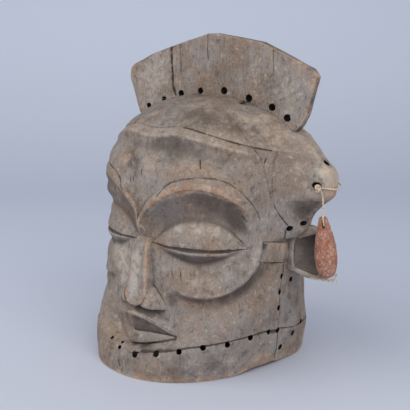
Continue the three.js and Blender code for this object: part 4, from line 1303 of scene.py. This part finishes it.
def wood_material():
    """Old grey-brown wood: mottled, streaked along its grain, darkened with painted shade in hollows, cut
    lines and drilled holes, stained, lightened with painted light on lit places, and worn to tan on edges.
    """
    m = Shading("old_wood")
    line, ridge, hollow = m.attribute("line"), m.attribute("ridge"), m.attribute("hollow")
    wear, stain, inside, bore = (m.attribute("wear"), m.attribute("stain"), m.attribute("inside"),
                                 m.attribute("bore"))
    upright = m.stretched((1, 1, 0.12))
    patches = m.noise(16, 4, 0.6, twist=0.6)
    blots = m.noise(55, 5, 0.65, twist=0.8)
    scuffs = m.noise(120, 5, 0.75, twist=0.5)
    grain = m.noise(330, 4, 0.6, upright)
    threads = m.noise(900, 2, 0.5, upright)
    grit = m.noise(420, 3, 0.7)
    colour = m.blend(m.ramp(patches, 0.38, 0.62), tone(144, 126, 111), tone(150, 142, 137))
    # Layers of colour: pattern, where it starts and is full, how much it covers, and its tone
    layers = [
        (blots, 0.5, 0.7, 0.42, (172, 161, 152)),
        (m.noise(38, 5, 0.7, twist=1.2), 0.52, 0.7, 0.5, (148, 118, 98)),
        (m.noise(27, 4, 0.65), 0.52, 0.7, 0.6, (98, 88, 83)),
        (m.noise(11, 3, 0.6, twist=0.5), 0.46, 0.62, 0.35, (122, 108, 98)),
        (m.noise(13, 3, 0.6, twist=0.3), 0.5, 0.66, 0.4, (164, 154, 148)),
        (scuffs, 0.53, 0.67, 0.7, (86, 76, 70)),
        (scuffs, 0.45, 0.33, 0.6, (194, 182, 171)), (grain, 0.5, 0.32, 0.3, (104, 92, 84)),
        (threads, 0.55, 0.75, 0.25, (198, 186, 174)), (grit, 0.58, 0.7, 0.4, (200, 180, 162)),
        (grit, 0.42, 0.3, 0.5, (92, 80, 73))]
    for pattern, start, full, cover, paint in layers:
        colour = m.blend(m.ramp(pattern, start, full, 0, cover), colour, tone(*paint))
    # Pale where the stains go below 0: painted light on lit faces, and some pale worn and stained places.
    pale = m.maths("MULTIPLY", stain, m.ramp(scuffs, 0.62, 0.4, 0.6, 1.25))
    colour = m.blend(m.ramp(pale, -0.05, -1.1, 0, 0.75), colour, tone(198, 186, 175))
    # Painted shade in the hollows, mottled by the blots.
    shade = m.maths("ADD", hollow, m.maths("MULTIPLY", m.maths("SUBTRACT", blots, 0.5), 0.8))
    colour = m.blend(m.ramp(shade, 0.1, 0.9, 0, 0.7), colour, tone(82, 71, 65))
    # Dirt and painted shade from the stains; the darkest, deep in an ear's hollow, goes near black.
    dark = m.maths("MULTIPLY", stain, m.ramp(blots, 0.3, 0.65, 1.2, 0.6))
    colour = m.blend(m.ramp(dark, 0.05, 0.9, 0, 0.72), colour, tone(76, 67, 62))
    colour = m.blend(m.ramp(dark, 0.9, 1.9, 0, 0.85), colour, tone(34, 30, 28))
    rub = m.maths("ADD", m.maths("MULTIPLY", ridge, 0.5), m.maths("MULTIPLY", hollow, -0.5))
    rub = m.maths("ADD", rub, m.maths("SUBTRACT", m.noise(140, 4, 0.7), 0.5))
    colour = m.blend(m.ramp(rub, 0.3, 0.75, 0, 0.5), colour, tone(200, 180, 160))
    worn = m.maths("MULTIPLY", wear, m.ramp(m.noise(170, 6, 0.8, twist=0.6), 0.36, 0.64, 0.15, 1.25))
    bare = m.blend(m.ramp(m.noise(75, 4, 0.7, twist=0.5), 0.4, 0.6), tone(178, 130, 98), tone(200, 172, 146))
    colour = m.blend(m.ramp(worn, 0.05, 0.95, 0, 0.8), colour, bare)
    # Painted shade in the cut lines and cracks, too narrow for the mesh to shade, faded here and there.
    faded = m.maths("MULTIPLY", line, m.ramp(m.noise(60, 4, 0.7), 0.35, 0.62, 0.5, 1.15))
    colour = m.blend(m.ramp(faded, 0.06, 0.6, 0, 0.8), colour, tone(52, 43, 38))
    colour = m.blend(m.maths("MULTIPLY", inside, 0.7), colour, tone(110, 96, 84))
    # Painted shade: the walls of the drilled holes near black.
    colour = m.blend(bore, colour, tone(22, 18, 16))
    normal = None
    for pattern, depth, strength in ((grit, 0.7, 0.65), (grain, 0.9, 0.45),
                                     (scuffs, 1.6, 0.55), (blots, 2.5, 0.4)):
        normal = m.bump(pattern, depth * MM, strength, normal)
    m.shader.inputs["Specular IOR Level"].default_value = 0.3
    return m.finish(colour, m.ramp(patches, 0.3, 0.7, 0.68, 0.85), normal)


def string_material():
    m = Shading("plant_string")
    m.shader.inputs["Specular IOR Level"].default_value = 0.2
    colour = m.blend(m.ramp(m.noise(700, 3, 0.6), 0.35, 0.65), tone(176, 152, 128), tone(226, 212, 190))
    return m.finish(colour, 0.9, m.bump(m.noise(1800, 3, 0.6), 0.0004, 0.5))


def stone_material():
    m = Shading("fruit_stone")
    m.shader.inputs["Specular IOR Level"].default_value = 0.3
    scale, smoothed, slot = m.attribute("scale"), m.attribute("smoothed"), m.attribute("slot")
    colour = m.blend(m.ramp(scale, 0.0, 0.8), tone(156, 110, 93), tone(186, 143, 124))
    upright = m.stretched((1, 1, 0.7))
    colour = m.blend(m.ramp(m.noise(300, 5, 0.75, upright), 0.5, 0.68, 0, 0.7), colour, tone(212, 178, 160))
    colour = m.blend(m.ramp(m.noise(110, 5, 0.75, upright), 0.54, 0.4, 0, 0.7), colour, tone(148, 84, 58))
    colour = m.blend(m.maths("MULTIPLY", smoothed, 0.6), colour, tone(180, 150, 138))
    # Painted shadow: the slot where the string goes in, near black.
    colour = m.blend(slot, colour, tone(28, 18, 15))
    return m.finish(colour, 0.72, m.bump(m.noise(900, 3, 0.7), 0.0005, 0.6))


# Stage: a pale sweep and soft lights

def backdrop_material(away):
    """Pale blue-grey paper, a little deeper at middle distance than close by, and lighter far off and up the
    wall with painted light.
    """
    m = Shading("backdrop")
    run = m.node("ShaderNodeVectorMath", {0: m.where, 1: (away.x, away.y, 1)}, operation="DOT_PRODUCT")
    run = run.outputs["Value"]
    colour = m.blend(m.ramp(run, -0.3, 0.9), tone(194, 199, 214), tone(198, 205, 222))
    colour = m.blend(m.ramp(run, 0.9, 2.5), colour, tone(222, 230, 247))
    return m.finish(colour, 0.9, m.bump(m.noise(60, 2), 0.0001, 0.1))


def make_stage():
    """Floor that curves up behind the mask into a wall, facing the camera."""
    bm = bmesh.new()
    bmesh.ops.create_grid(bm, x_segments=2, y_segments=60, size=1)
    across, away = Vector(CAMERA_RIGHT), Vector((-CAMERA_RIGHT[1], CAMERA_RIGHT[0], 0))
    near, level, arc, radius, wide = 2, 3.1, 1.6, 1.02, 4
    for v in bm.verts:
        run = (v.co.y + 1) * 2 * arc
        curve = min(max((run - level) / arc, 0), 1) * math.pi / 2
        out = min(run, level) - near + radius * math.sin(curve)
        up = radius * (1 - math.cos(curve)) + max(run - level - arc, 0)
        v.co = across * v.co.x * wide + away * out + Vector((0, 0, up))
    sweep = link("floor", bm)
    for face in sweep.data.polygons:
        face.use_smooth = True
    sweep.data.materials.append(backdrop_material(away))


def area_light(name, place_at, target, size, power, colour):
    data = bpy.data.lights.new(name, "AREA")
    data.size, data.energy, data.color = size, power, colour
    made = bpy.data.objects.new(name, data)
    made.location = place_at
    made.rotation_euler = (Vector(target) - Vector(place_at)).to_track_quat("-Z", "Y").to_euler()
    bpy.context.scene.collection.objects.link(made)


def make_lights():
    area_light("key", (-0.4, -1.25, 1.4), (0, 0, 0.15), 2.0, 19, (1, 0.98, 0.95))
    area_light("fill", (1.5, -0.45, 1.2), (0, 0, 0.15), 1.4, 16, (1, 0.98, 0.96))
    area_light("top", (0.1, 0.4, 2.0), (0, 0, 0.1), 1.6, 3, (0.97, 0.98, 1))
    world = bpy.data.worlds.new("studio")
    world.use_nodes = True
    world.node_tree.nodes["Background"].inputs["Color"].default_value = (0.93, 0.96, 1, 1)
    world.node_tree.nodes["Background"].inputs["Strength"].default_value = 0.4
    bpy.context.scene.world = world
    bpy.context.scene.view_settings.view_transform = "Standard"


# Put the object together: every piece with its material, its slot and the node it stands for

strings = make_strings()
mask = make_mask()
finish_surface(mask)
mask.data.materials.clear()
mask.data.materials.append(wood_material())
mask.data.shade_smooth()
mask.data.set_sharp_from_angle(angle=math.radians(50))
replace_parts(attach(mask, "root"), "helmet_mask")

twine = string_material()
for piece, centres, length in strings.values():
    piece.data.shade_smooth()
    piece.data.materials.append(twine)
twist, centres, length = strings["earring_string_twist"]
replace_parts(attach(twist, "root"), "earring_string")
pendant = make_pendant()
pendant.data.materials.append(stone_material())
pendant.data.shade_smooth()
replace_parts(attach(pendant, "root"), "fruit_pendant")
knot, fibres = make_knot(), make_fibres()
for piece, node in ((knot, "earring_string"), (fibres, "earring_tail")):
    piece.data.shade_smooth()
    piece.data.materials.append(twine)
    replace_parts(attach(piece, "root"), node)
tail, centres, length = strings["earring_tail_twist"]
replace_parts(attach(tail, "root"), "earring_tail")

make_stage()
make_lights()
